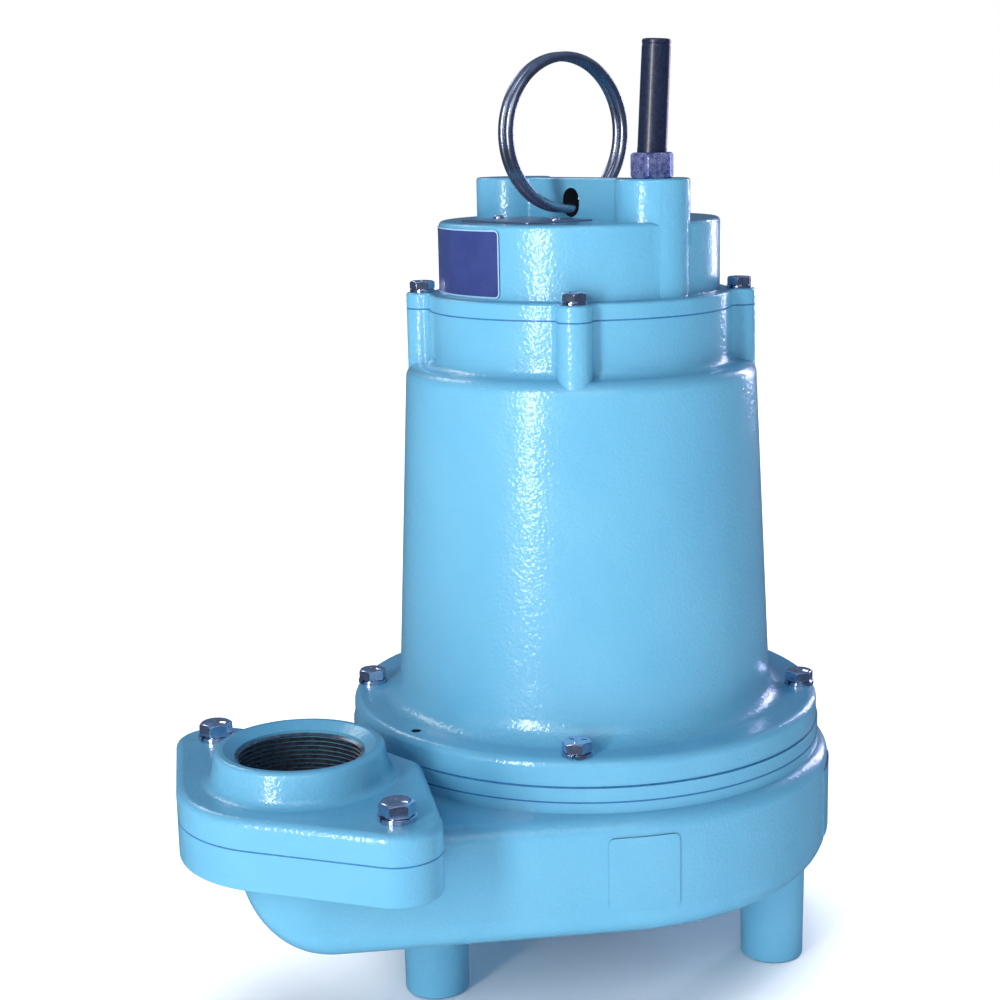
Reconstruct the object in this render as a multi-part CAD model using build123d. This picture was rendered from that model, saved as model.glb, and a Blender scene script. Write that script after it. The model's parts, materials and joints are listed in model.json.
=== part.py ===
from build123d import *
import math
import os

# Submersible effluent pump in cast iron, in millimetres with +Z up.
# Every piece is modelled round the motor shaft (x = y = 0) with the floor at z = 0.
# The front is -Y. place_on_origin then centres the whole pump's footprint on the origin.

# Motor housing: base flange, tapered barrel, shoulder and a neck with four bolt columns
BASE_FLANGE_RADIUS = 120.3
BASE_FLANGE_THICKNESS = 12.6
BASE_FLANGE_ROUND = 4.0
BASE_BOLT_EDGE = 8.3
BASE_LEDGE = 23.8
BARREL_TAPER = 8.3
BARREL_FOOT_ROUND = 11.0
BARREL_FOOT_ROUND_SHARE = 0.55
SHOULDER_HEIGHT = 183.0
SHOULDER_LEDGE = 12.2
SHOULDER_ROUND = 6.5
SHOULDER_ROUND_SHARE = 0.53
NECK_FOOT_ROUND = 5.0
NECK_FOOT_ROUND_SHARE = 0.41
HOUSING_HEIGHT = 210.0
COLUMN_RADIUS = 8.2
COLUMN_STANDOFF = 3.6
COLUMN_ROUND = 4.0
COLUMN_DEPTH = 48.0
WEEP_HOLE_RADIUS = 2.5
WEEP_HOLE_ANGLE = 225.0

# Seal plate between the casing and the motor, with a thin gasket on each face
GASKET_THICKNESS = 0.8
SEAL_PLATE_STEP = 0.9
SEAL_PLATE_THICKNESS = 6.4
SPIGOT_DEPTH = 5.0
SPIGOT_CLEARANCE = 0.4

# Volute casing: a spiral casting on three legs, with the discharge elbow at its front left
LEG_HEIGHT = 52.5
LEG_TOP_RADIUS = 16.6
LEG_FOOT_RADIUS = 16.0
LEG_FOOT_ROUND = 1.5
LEG_ROOT = 3.5
LEG_INSET = 21.8
LEG_ANGLES = (105.0, 222.5, 347.3)
CASING_HEIGHT = 66.5
CASING_WALL = 8.0
SPIRAL_MARGIN = 0.4
SPIRAL_STEP = 3.0
CASING_LOWER_ROUND = 17.0
CASING_UPPER_ROUND = 7.5
TONGUE_ROUND = 12.0
RIM_RISE = 5.0
RIM_STEP = 0.2
RIM_THICKNESS = 12.0
RIM_BOLT_WALL = 14.0
SUCTION_RADIUS = 33.0
WEAR_LAND_INSET = 10.0
WEAR_LAND_HEIGHT = 14.0

# Bare raised pads that are cast on the casing's front and right walls
PAD_RISE = 0.8
PAD_HEIGHT = 36.0
PAD_TOP_GAP = 9.0
PAD_LENGTH = 34.0
PAD_ANGLES = (284.0, 351.0)
PAD_CORNER_ROUND = 3.0

# Discharge: elbow under an oval flange, with a threaded companion flange bolted on top
DISCHARGE_ANGLE = 223.77
DISCHARGE_GAP = 6.9
ELBOW_RADIUS = 36.0
ELBOW_END_SHIFT = 5.8
ELBOW_BEND_EXCESS = 2.0
OVAL_DROP = 1.6
OVAL_ANGLE = -45.0
OVAL_CENTRE_RADIUS = 57.5
OVAL_LOBE_RADIUS = 19.9
OVAL_BOLT_SPACING = 147.2
OVAL_PLATE_GAP = 7.3
OVAL_CASING_THICKNESS = 18.7
OVAL_TOP_THICKNESS = 14.0
OVAL_EDGE_ROUND = 1.6
OVAL_TOP_ROUND = 4.0
HUB_TOP_RADIUS = 39.2
HUB_FOOT_RADIUS = 42.0
HUB_HEIGHT = 15.4
HUB_FOOT_ROUND = 5.0
HUB_RIM_ROUND = 2.6
MOUTH_CHAMFER_WIDTH = 5.2
MOUTH_CHAMFER_DEPTH = 3.2
THREAD_RADIUS = 30.15
PASSAGE_RADIUS = 25.0
RISER_DEPTH = 10.0

# Motor cap: flange, drum and the diagonal ridge that carries the cable gland and the ring
CAP_FLANGE_THICKNESS = 7.6
DRUM_INSET = 6.0
DRUM_HEIGHT = 35.6
DRUM_TOP_ROUND = 2.2
DRUM_FOOT_ROUND = 1.2
RIDGE_ANGLE = -48.0
RIDGE_HEIGHT = 20.0
GLAND_BOSS_RADIUS = 18.0
GLAND_BOSS_INSET = 16.0
LOBE_RADIUS = 19.5
LOBE_INSET = 18.0
WEB_THICKNESS = 10.0
RIDGE_CORNER_ROUND = 3.0
RING_HOLE_RADIUS = 6.2
RING_HOLE_RISE = 6.85
RING_HOLE_SLOT = 2.05

# Lifting ring: two turns of round wire that hang in the ridge's hole
RING_WIRE_RADIUS = 2.38
RING_MEAN_RADIUS = 36.5
RING_TURN_PITCH = 4.6
RING_DROP = 0.5
RING_LEAN = 13.8

# Cable gland and its strain relief sleeve
GLAND_NUT_FLATS = 18.8
GLAND_NUT_HEIGHT = 12.0
GLAND_NUT_TURN = 20.0
SLEEVE_RADIUS = 7.1
SLEEVE_TIP_RADIUS = 6.8
SLEEVE_LENGTH = 52.0
SLEEVE_LEAN = 2.5
SLEEVE_SEAT_TRIM = 2.0
CABLE_BORE_RADIUS = 4.5
CABLE_BORE_DEPTH = 14.0

# Nameplate on the drum's top and label on its side, both bare
NAMEPLATE_LENGTH = 53.0
NAMEPLATE_WIDTH = 41.0
NAMEPLATE_THICKNESS = 0.8
NAMEPLATE_OFFSET = 33.5
NAMEPLATE_CORNER = 2.0
PLATE_SCREW_SPACING = 44.0
PLATE_SCREW_SHANK_RADIUS = 1.2
PLATE_SCREW_HEAD_RADIUS = 2.7
PLATE_SCREW_HEAD_HEIGHT = 1.7
PLATE_SCREW_DOME_SHARE = 0.8
PLATE_SCREW_LENGTH = 5.0
LABEL_HEIGHT = 32.0
LABEL_ARC = 56.0
LABEL_ANGLE = 211.5
LABEL_RISE = 1.3
LABEL_THICKNESS = 0.4
LABEL_CLEARANCE = 0.15
LABEL_CORNER = 2.5

# Impeller on the motor shaft, inside the casing
SHAFT_RADIUS = 9.5
SHAFT_CLEARANCE = 0.3
SHAFT_FIT = 0.05
IMPELLER_INSET = 16.0
IMPELLER_SHROUD = 5.0
VANE_COUNT = 5
VANE_HEIGHT = 20.0
VANE_THICKNESS = 5.0
VANE_CURVE_RADIUS = 52.0
VANE_INNER_RADIUS = 27.0
VANE_GAP = 1.5
IMPELLER_HUB_WALL = 9.5
IMPELLER_NUT_WALL = 4.5
IMPELLER_NUT_HEIGHT = 9.0

# Hex bolts of the motor's base, 5/16 inch, with their lock washers
BASE_BOLT_RADIUS = 3.97
BASE_BOLT_FLATS = 12.7
BASE_BOLT_HEAD_HEIGHT = 5.4
BASE_BOLT_THREAD_LENGTH = 10.0
BASE_WASHER_RADIUS = 7.5
BASE_WASHER_THICKNESS = 1.8

# Hex bolts of the motor's cap, 1/4 inch
CAP_BOLT_RADIUS = 3.18
CAP_BOLT_FLATS = 11.1
CAP_BOLT_HEAD_HEIGHT = 4.3
CAP_BOLT_THREAD_LENGTH = 14.0
CAP_WASHER_RADIUS = 6.3
CAP_WASHER_THICKNESS = 1.4

# Hex bolts of the discharge flange, 3/8 inch
OVAL_BOLT_RADIUS = 4.76
OVAL_BOLT_FLATS = 14.3
OVAL_BOLT_HEAD_HEIGHT = 6.4
OVAL_BOLT_THREAD_LENGTH = 16.0
OVAL_WASHER_RADIUS = 8.8
OVAL_WASHER_THICKNESS = 2.2

# Clearances round every bolt, and the directions of the bolts on a circle
BOLT_CLEARANCE = 0.4
WASHER_CLEARANCE = 0.2
THREAD_CLEARANCE = 0.05
SPOT_FACE_CLEARANCE = 0.5
BOLT_ANGLES = (0.0, 90.0, 180.0, 270.0)

# How near an edge or a corner lies to the place where it is looked for
EDGE_REACH = 0.01
LINE_REACH = 0.1

# Radii round the shaft, from the base flange inwards and outwards
base_bolt_circle = BASE_FLANGE_RADIUS - BASE_BOLT_EDGE
barrel_foot_radius = BASE_FLANGE_RADIUS - BASE_LEDGE
barrel_top_radius = barrel_foot_radius - BARREL_TAPER
neck_radius = barrel_top_radius - SHOULDER_LEDGE
column_circle = neck_radius + COLUMN_STANDOFF
drum_radius = neck_radius - DRUM_INSET
gland_reach = drum_radius - GLAND_BOSS_INSET
lobe_reach = drum_radius - LOBE_INSET
seal_plate_radius = BASE_FLANGE_RADIUS + SEAL_PLATE_STEP
rim_radius = seal_plate_radius + RIM_STEP
rim_opening_radius = base_bolt_circle - RIM_BOLT_WALL
spiral_start_radius = rim_radius + SPIRAL_MARGIN
leg_circle_radius = spiral_start_radius - LEG_INSET
wear_land_radius = rim_opening_radius - WEAR_LAND_INSET
impeller_radius = rim_opening_radius - IMPELLER_INSET
plate_recess_radius = seal_plate_radius + OVAL_PLATE_GAP
discharge_reach = plate_recess_radius + HUB_FOOT_RADIUS + DISCHARGE_GAP

# Heights above the floor, from the stack of pieces
casing_top = LEG_HEIGHT + CASING_HEIGHT
plate_bottom = casing_top + GASKET_THICKNESS
plate_top = plate_bottom + SEAL_PLATE_THICKNESS
housing_bottom = plate_top + GASKET_THICKNESS
base_seat = housing_bottom + BASE_FLANGE_THICKNESS
housing_top = housing_bottom + HOUSING_HEIGHT
cap_bottom = housing_top + GASKET_THICKNESS
cap_seat = cap_bottom + CAP_FLANGE_THICKNESS
drum_top = cap_seat + DRUM_HEIGHT
ridge_top = drum_top + RIDGE_HEIGHT
nut_top = ridge_top + GLAND_NUT_HEIGHT
casing_shoulder = casing_top - RIM_RISE
oval_face_top = casing_top - OVAL_DROP
oval_underside = oval_face_top - OVAL_CASING_THICKNESS
oval_plate_bottom = oval_face_top + GASKET_THICKNESS
oval_seat = oval_plate_bottom + OVAL_TOP_THICKNESS
hub_top = oval_seat + HUB_HEIGHT
cavity_floor = LEG_HEIGHT + CASING_WALL
cavity_roof = casing_top - RIM_THICKNESS
land_top = cavity_floor + WEAR_LAND_HEIGHT
shroud_bottom = land_top + VANE_GAP + VANE_HEIGHT
shroud_top = shroud_bottom + IMPELLER_SHROUD


def polar(radius, angle, z=0.0):
    """Point at a radius and an angle in degrees round the shaft axis."""
    return Vector(radius * math.cos(math.radians(angle)), radius * math.sin(math.radians(angle)), z)


# Plan place of the discharge axis
discharge = polar(discharge_reach, DISCHARGE_ANGLE)


def disc(radius, bottom, height, at=Vector(0, 0, 0)):
    """Upright cylinder that stands on the height bottom."""
    low_end = (Align.CENTER, Align.CENTER, Align.MIN)
    return Pos(at.X, at.Y, bottom) * Cylinder(radius, height, align=low_end)


def prism(face, bottom, height):
    """Straight extrusion of a plan outline from the height bottom."""
    return extrude(Pos(0, 0, bottom) * face, height, dir=(0, 0, 1))


def edges_at(solid, height):
    """Edges that lie flat at one height."""
    return solid.edges().filter_by_position(Axis.Z, height - EDGE_REACH, height + EDGE_REACH)


def spiral_centres():
    """Centres and radii of the spiral's three quarter arcs, left to back, back to right, right to front."""
    half = SPIRAL_STEP / 2
    return (
        (Vector(half, half), spiral_start_radius),
        (Vector(half, -half), spiral_start_radius + SPIRAL_STEP),
        (Vector(-half, -half), spiral_start_radius + 2 * SPIRAL_STEP),
    )


def throat_normal():
    """Outward normal of the front wall, the common tangent of the last spiral arc and the elbow."""
    centre, radius = spiral_centres()[2]
    reach = discharge - centre
    turn = math.acos((radius - ELBOW_RADIUS) / reach.length)
    angle = math.atan2(reach.Y, reach.X) + turn
    return Vector(math.cos(angle), math.sin(angle))


def throat_along():
    """Direction in plan from the discharge up the throat into the casing."""
    normal = throat_normal()
    return Vector(-normal.Y, normal.X)


def bend_offset():
    """Distance from the discharge axis to the level axis that the elbow's outer wall turns about."""
    end = ELBOW_END_SHIFT - ELBOW_RADIUS - ELBOW_BEND_EXCESS
    return end + oval_underside - LEG_HEIGHT


def scroll_face(inset):
    """Plan outline of the spiral and throat, moved inwards by inset."""
    (first, first_radius), (second, second_radius), (third, third_radius) = spiral_centres()
    normal = throat_normal()
    along = throat_along()
    half_width = ELBOW_RADIUS - inset
    first_radius -= inset
    second_radius -= inset
    third_radius -= inset
    normal_angle = math.degrees(math.atan2(normal.Y, normal.X))
    wall_start = third + normal * third_radius
    end_centre = discharge + along * ELBOW_END_SHIFT
    outer_corner = end_centre + normal * half_width
    inner_corner = end_centre - normal * half_width
    drop = normal.dot(inner_corner) - normal.dot(first)
    chord = math.sqrt(first_radius ** 2 - drop ** 2)
    tongue = first + normal * drop - along * chord
    tongue_angle = math.degrees(math.atan2(tongue.Y - first.Y, tongue.X - first.X)) % 360
    outline = [
        CenterArc(first, first_radius, 90, tongue_angle - 90),
        CenterArc(second, second_radius, 0, 90),
        CenterArc(third, third_radius, normal_angle, -normal_angle),
        Line(wall_start, outer_corner),
        ThreePointArc(outer_corner, end_centre - along * half_width, inner_corner),
        Line(inner_corner, tongue),
    ]
    face = make_face(outline)
    corner = face.vertices().sort_by_distance(tongue)[0]
    return fillet(corner, TONGUE_ROUND)


def elbow_corner(inset):
    """What the elbow lacks of a square end: all that lies outside its bend, below the oval flange."""
    radius = oval_underside - LEG_HEIGHT - inset
    reach = 2 * radius
    high_side = (Align.MAX, Align.CENTER, Align.MAX)
    corner = Box(reach, 2 * ELBOW_RADIUS, reach, align=high_side)
    corner -= Rot(90, 0, 0) * Cylinder(radius, 2 * ELBOW_RADIUS)
    along = throat_along()
    turn = math.degrees(math.atan2(along.Y, along.X))
    bend = discharge + along * bend_offset()
    return Pos(bend.X, bend.Y, oval_underside) * Rot(0, 0, turn) * corner


def scroll_solid(inset, top):
    """Spiral, throat and elbow as one solid: the casting's outside, or the water passage in it."""
    bottom = LEG_HEIGHT + inset
    body = prism(scroll_face(inset), bottom, top - bottom) - elbow_corner(inset)
    along = throat_along()
    bend_reach = along.dot(discharge) + bend_offset()
    lower = []
    for edge in body.edges():
        on_bend_line = abs(along.dot(edge @ 0.5) - bend_reach) < LINE_REACH
        if edge.bounding_box().max.Z < oval_underside - LINE_REACH and not on_bend_line:
            lower.append(edge)
    return fillet(lower, CASING_LOWER_ROUND - inset)


def oval_face():
    """Oval flange outline: a round middle and two round lobes, joined by straight tangents."""
    half_spacing = OVAL_BOLT_SPACING / 2
    lean = math.acos((OVAL_CENTRE_RADIUS - OVAL_LOBE_RADIUS) / half_spacing)
    lean_degrees = math.degrees(lean)
    touch = Vector(math.cos(lean), math.sin(lean))
    lobe = Vector(half_spacing, 0)
    outline = []
    for side in (1, -1):
        inner = Vector(touch.X * OVAL_CENTRE_RADIUS, side * touch.Y * OVAL_CENTRE_RADIUS)
        outer = lobe + Vector(touch.X * OVAL_LOBE_RADIUS, side * touch.Y * OVAL_LOBE_RADIUS)
        outline.append(Line(inner, outer))
        outline.append(Line(Vector(-inner.X, inner.Y), Vector(-outer.X, outer.Y)))
    outline.append(CenterArc((0, 0), OVAL_CENTRE_RADIUS, lean_degrees, 180 - 2 * lean_degrees))
    outline.append(CenterArc((0, 0), OVAL_CENTRE_RADIUS, 180 + lean_degrees, 180 - 2 * lean_degrees))
    outline.append(CenterArc(lobe, OVAL_LOBE_RADIUS, -lean_degrees, 2 * lean_degrees))
    outline.append(CenterArc(lobe * -1, OVAL_LOBE_RADIUS, 180 - lean_degrees, 2 * lean_degrees))
    return Pos(discharge.X, discharge.Y) * Rot(0, 0, OVAL_ANGLE) * make_face(outline)


def plate_recess(bottom, height):
    """Round space that the loose oval plate leaves free, so that it clears the seal plate."""
    return disc(plate_recess_radius, bottom, height)


def oval_bolt_points():
    """Plan places of the two discharge bolts."""
    return [discharge + polar(OVAL_BOLT_SPACING / 2, OVAL_ANGLE + turn) for turn in (0, 180)]


def ring_bolt_points(circle):
    """Plan places of four bolts on a circle round the shaft."""
    return [polar(circle, angle) for angle in BOLT_ANGLES]


def drill(solid, points, radius, bottom, height):
    """Take a straight hole out of the solid at each plan point."""
    for point in points:
        solid -= disc(radius, bottom, height, point)
    return solid


def leg(angle):
    """One round leg, drafted towards the floor, with its root inside the casing's bottom wall."""
    height = LEG_HEIGHT + LEG_ROOT
    shaft = Cone(LEG_FOOT_RADIUS, LEG_TOP_RADIUS, height, align=(Align.CENTER, Align.CENTER, Align.MIN))
    shaft = fillet(edges_at(shaft, 0), LEG_FOOT_ROUND)
    return Location(polar(leg_circle_radius, angle)) * shaft


def cast_pad(angle):
    """Bare pad, raised a little from the casing's wall and cut out of a slightly larger spiral."""
    top = casing_shoulder - PAD_TOP_GAP
    shell = prism(scroll_face(-PAD_RISE), top - PAD_HEIGHT, PAD_HEIGHT)
    window = RectangleRounded(PAD_HEIGHT, PAD_LENGTH, PAD_CORNER_ROUND)
    middle = Pos(leg_circle_radius, 0, top - PAD_HEIGHT / 2) * Rot(0, 90, 0)
    return shell & (Rot(0, 0, angle) * middle * extrude(window, seal_plate_radius / 2))


def volute_casing():
    """Casting with the spiral, the elbow, the oval flange and the legs, hollow and open on top."""
    body = scroll_solid(0, casing_shoulder)
    body = fillet(edges_at(body, casing_shoulder), CASING_UPPER_ROUND)
    rim_bottom = casing_shoulder - CASING_UPPER_ROUND
    body += disc(rim_radius, rim_bottom, casing_top - rim_bottom)
    oval = prism(oval_face(), oval_underside, OVAL_CASING_THICKNESS)
    body += fillet(edges_at(oval, oval_underside), OVAL_EDGE_ROUND)
    for angle in PAD_ANGLES:
        body += cast_pad(angle)
    for angle in LEG_ANGLES:
        body += leg(angle)
    cavity = scroll_solid(CASING_WALL, cavity_roof)
    cavity -= disc(wear_land_radius, cavity_floor, WEAR_LAND_HEIGHT)
    body -= cavity
    body -= disc(rim_opening_radius, cavity_roof, RIM_THICKNESS)
    riser_bottom = oval_underside - RISER_DEPTH
    body -= disc(PASSAGE_RADIUS, riser_bottom, oval_face_top - riser_bottom, discharge)
    body -= disc(SUCTION_RADIUS, LEG_HEIGHT, CASING_WALL + WEAR_LAND_HEIGHT)
    tapped = BASE_BOLT_RADIUS + THREAD_CLEARANCE
    body = drill(body, ring_bolt_points(base_bolt_circle), tapped, cavity_roof, RIM_THICKNESS)
    tapped = OVAL_BOLT_RADIUS + THREAD_CLEARANCE
    return drill(body, oval_bolt_points(), tapped, oval_underside, OVAL_CASING_THICKNESS)


def discharge_gasket():
    """Thin gasket between the two oval flanges."""
    sheet = prism(oval_face(), oval_face_top, GASKET_THICKNESS)
    sheet -= plate_recess(oval_face_top, GASKET_THICKNESS)
    hole = OVAL_BOLT_RADIUS + BOLT_CLEARANCE
    sheet = drill(sheet, oval_bolt_points(), hole, oval_face_top, GASKET_THICKNESS)
    return sheet - disc(THREAD_RADIUS, oval_face_top, GASKET_THICKNESS, discharge)


def discharge_flange():
    """Companion flange: an oval plate under a round, slightly conical hub with the pipe thread's bore."""
    low_end = (Align.CENTER, Align.CENTER, Align.MIN)
    plate = prism(oval_face(), oval_plate_bottom, OVAL_TOP_THICKNESS)
    plate = fillet(edges_at(plate, oval_seat), OVAL_TOP_ROUND)
    hub = Cone(HUB_FOOT_RADIUS, HUB_TOP_RADIUS, HUB_HEIGHT, align=low_end)
    body = plate + Pos(discharge.X, discharge.Y, oval_seat) * hub
    foot = edges_at(body, oval_seat).filter_by(GeomType.CIRCLE)
    foot = [edge for edge in foot if abs(edge.radius - HUB_FOOT_RADIUS) < EDGE_REACH]
    body = fillet(foot, HUB_FOOT_ROUND)
    body = fillet(edges_at(body, hub_top), HUB_RIM_ROUND)
    body -= plate_recess(oval_plate_bottom, hub_top - oval_plate_bottom)
    body -= disc(THREAD_RADIUS, oval_plate_bottom, hub_top - oval_plate_bottom, discharge)
    mouth_radius = THREAD_RADIUS + MOUTH_CHAMFER_WIDTH
    mouth = Cone(THREAD_RADIUS, mouth_radius, MOUTH_CHAMFER_DEPTH, align=low_end)
    body -= Pos(discharge.X, discharge.Y, hub_top - MOUTH_CHAMFER_DEPTH) * mouth
    hole = OVAL_BOLT_RADIUS + BOLT_CLEARANCE
    return drill(body, oval_bolt_points(), hole, oval_plate_bottom, OVAL_TOP_THICKNESS)


def ring_gasket(outer, inner, bottom, hole_points, hole_radius):
    """Thin flat ring with its bolt holes."""
    sheet = disc(outer, bottom, GASKET_THICKNESS) - disc(inner, bottom, GASKET_THICKNESS)
    return drill(sheet, hole_points, hole_radius, bottom, GASKET_THICKNESS)


def seal_plate():
    """Round plate that closes the casing, with a spigot in its opening and the shaft through it."""
    plate = disc(seal_plate_radius, plate_bottom, SEAL_PLATE_THICKNESS)
    spigot_bottom = casing_top - SPIGOT_DEPTH
    plate += disc(rim_opening_radius - SPIGOT_CLEARANCE, spigot_bottom, plate_bottom - spigot_bottom)
    plate -= disc(SHAFT_RADIUS + SHAFT_CLEARANCE, spigot_bottom, plate_top - spigot_bottom)
    hole = BASE_BOLT_RADIUS + BOLT_CLEARANCE
    return drill(plate, ring_bolt_points(base_bolt_circle), hole, plate_bottom, SEAL_PLATE_THICKNESS)


def neck_face():
    """Plan outline of the neck and the cap's flange: a circle with four bolt columns on it."""
    face = Circle(neck_radius)
    for point in ring_bolt_points(column_circle):
        face += Pos(point.X, point.Y) * Circle(COLUMN_RADIUS)
    inner_corners = [v for v in face.vertices() if Vector(v.X, v.Y).length < neck_radius + EDGE_REACH]
    return fillet(inner_corners, COLUMN_ROUND)


def motor_housing():
    """Base flange, tapered barrel and shoulder turned as one profile, with the neck's bolt columns."""
    shoulder = housing_bottom + SHOULDER_HEIGHT
    profile = Polyline(
        (0, housing_bottom),
        (BASE_FLANGE_RADIUS, housing_bottom),
        (BASE_FLANGE_RADIUS, base_seat),
        (barrel_foot_radius, base_seat),
        (barrel_top_radius, shoulder),
        (neck_radius, shoulder),
        (neck_radius, housing_top),
        (0, housing_top),
        close=True,
    )
    half = make_face(profile)
    rounds = (
        ((BASE_FLANGE_RADIUS, base_seat), BASE_FLANGE_ROUND),
        ((barrel_foot_radius, base_seat), min(BARREL_FOOT_ROUND, BARREL_FOOT_ROUND_SHARE * BASE_LEDGE)),
        ((barrel_top_radius, shoulder), min(SHOULDER_ROUND, SHOULDER_ROUND_SHARE * SHOULDER_LEDGE)),
        ((neck_radius, shoulder), min(NECK_FOOT_ROUND, NECK_FOOT_ROUND_SHARE * SHOULDER_LEDGE)),
    )
    for place, radius in rounds:
        corner = half.vertices().sort_by_distance(place)[0]
        half = fillet(corner, radius)
    body = revolve(Plane.XZ * half, Axis.Z)
    body += prism(neck_face(), housing_top - COLUMN_DEPTH, COLUMN_DEPTH)
    hole = BASE_BOLT_RADIUS + BOLT_CLEARANCE
    body = drill(body, ring_bolt_points(base_bolt_circle), hole, housing_bottom, BASE_FLANGE_THICKNESS)
    tapped = CAP_BOLT_RADIUS + THREAD_CLEARANCE
    depth = CAP_BOLT_THREAD_LENGTH + BOLT_CLEARANCE
    body = drill(body, ring_bolt_points(column_circle), tapped, housing_top - depth, depth)
    spot = BASE_WASHER_RADIUS + SPOT_FACE_CLEARANCE
    body = drill(body, ring_bolt_points(base_bolt_circle), spot, base_seat, BARREL_FOOT_ROUND)
    weep = polar(base_bolt_circle, WEEP_HOLE_ANGLE)
    return drill(body, [weep], WEEP_HOLE_RADIUS, housing_bottom, BASE_FLANGE_THICKNESS)


def cap_gasket():
    """Thin gasket that follows the neck's outline."""
    sheet = prism(neck_face(), housing_top, GASKET_THICKNESS)
    hole = CAP_BOLT_RADIUS + BOLT_CLEARANCE
    sheet = drill(sheet, ring_bolt_points(column_circle), hole, housing_top, GASKET_THICKNESS)
    return sheet


def ridge_face():
    """Plan outline of the ridge: the gland's boss and a round lobe, joined by a straight web."""
    length = gland_reach + lobe_reach
    middle = (gland_reach - lobe_reach) / 2
    face = Pos(middle, 0) * Rectangle(length, WEB_THICKNESS)
    face += Pos(gland_reach, 0) * Circle(GLAND_BOSS_RADIUS)
    face += Pos(-lobe_reach, 0) * Circle(LOBE_RADIUS)
    face = fillet(face.vertices(), RIDGE_CORNER_ROUND)
    return Rot(0, 0, RIDGE_ANGLE) * face


def ridge_turn():
    """Rotation that lays the X axis along the ridge, towards the gland."""
    return Rot(0, 0, RIDGE_ANGLE)


def motor_cap():
    """Cap casting: flange with four bolt ears, drum, and the ridge with the ring's hole."""
    body = prism(neck_face(), cap_bottom, CAP_FLANGE_THICKNESS)
    drum = disc(drum_radius, cap_seat, DRUM_HEIGHT)
    drum = fillet(edges_at(drum, drum_top), DRUM_TOP_ROUND)
    body += drum
    body = fillet([e for e in edges_at(body, cap_seat).filter_by(GeomType.CIRCLE)
                   if abs(e.radius - drum_radius) < EDGE_REACH], DRUM_FOOT_ROUND)
    body += prism(ridge_face(), cap_seat, DRUM_HEIGHT + RIDGE_HEIGHT)
    slot = SlotCenterToCenter(RING_HOLE_SLOT, 2 * RING_HOLE_RADIUS, rotation=90)
    slot_middle = drum_top + RING_HOLE_RISE + RING_HOLE_SLOT / 2
    body -= ridge_turn() * Pos(0, 0, slot_middle) * extrude(Plane.XZ * slot, WEB_THICKNESS, both=True)
    gland = polar(gland_reach, RIDGE_ANGLE)
    body -= disc(CABLE_BORE_RADIUS, ridge_top - CABLE_BORE_DEPTH, CABLE_BORE_DEPTH, gland)
    hole_radius = CAP_BOLT_RADIUS + BOLT_CLEARANCE
    body = drill(body, ring_bolt_points(column_circle), hole_radius, cap_bottom, CAP_FLANGE_THICKNESS)
    for place in screw_points():
        body -= disc(PLATE_SCREW_SHANK_RADIUS, drum_top - PLATE_SCREW_LENGTH, PLATE_SCREW_LENGTH, place)
    return body


def lifting_ring():
    """Two turns of wire side by side, standing in the ridge's hole and leaning over in their own plane."""
    half_pitch = RING_TURN_PITCH / 2
    section = Pos(RING_MEAN_RADIUS, half_pitch) * Circle(RING_WIRE_RADIUS)
    section += Pos(RING_MEAN_RADIUS, -half_pitch) * Circle(RING_WIRE_RADIUS)
    ring = revolve(section, Axis.Y)
    pivot = drum_top + RING_HOLE_RISE - RING_DROP
    upright = Pos(0, 0, RING_MEAN_RADIUS) * Rot(0, 0, 90) * ring
    return ridge_turn() * Pos(0, 0, pivot) * Rot(RING_LEAN, 0, 0) * upright


def hexagon(flats):
    """Hexagon face of a width across flats."""
    return RegularPolygon(flats / 2, 6, major_radius=False)


def gland_nut():
    """Hex compression nut on the gland's boss."""
    gland = polar(gland_reach, RIDGE_ANGLE)
    nut = prism(Pos(gland.X, gland.Y) * Rot(0, 0, GLAND_NUT_TURN) * hexagon(GLAND_NUT_FLATS),
                ridge_top, GLAND_NUT_HEIGHT)
    return nut - disc(CABLE_BORE_RADIUS, ridge_top, GLAND_NUT_HEIGHT, gland)


def strain_relief():
    """Tapered sleeve that leans a little to the right, cut level where it sits on the nut."""
    gland = polar(gland_reach, RIDGE_ANGLE)
    low_end = (Align.CENTER, Align.CENTER, Align.MIN)
    length = SLEEVE_LENGTH + SLEEVE_SEAT_TRIM
    tube = Cone(SLEEVE_RADIUS, SLEEVE_TIP_RADIUS, length, align=low_end)
    tube -= Cylinder(CABLE_BORE_RADIUS, length, align=low_end)
    tube = Pos(gland.X, gland.Y, nut_top) * Rot(0, SLEEVE_LEAN, 0) * Pos(0, 0, -SLEEVE_SEAT_TRIM) * tube
    trim = 2 * SLEEVE_SEAT_TRIM
    return tube - disc(2 * SLEEVE_RADIUS, nut_top - trim, trim, gland)


def screw_points():
    """Plan places of the nameplate's two drive screws."""
    half = PLATE_SCREW_SPACING / 2
    across = polar(NAMEPLATE_OFFSET, RIDGE_ANGLE - 90)
    return [across + polar(side * half, RIDGE_ANGLE) for side in (-1, 1)]


def nameplate():
    """Bare rectangular plate on the drum's top, beside the ridge."""
    centre = polar(NAMEPLATE_OFFSET, RIDGE_ANGLE - 90)
    outline = RectangleRounded(NAMEPLATE_LENGTH, NAMEPLATE_WIDTH, NAMEPLATE_CORNER)
    plate = prism(Pos(centre.X, centre.Y) * Rot(0, 0, RIDGE_ANGLE) * outline, drum_top, NAMEPLATE_THICKNESS)
    return drill(plate, screw_points(), PLATE_SCREW_SHANK_RADIUS, drum_top, NAMEPLATE_THICKNESS)


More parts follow.
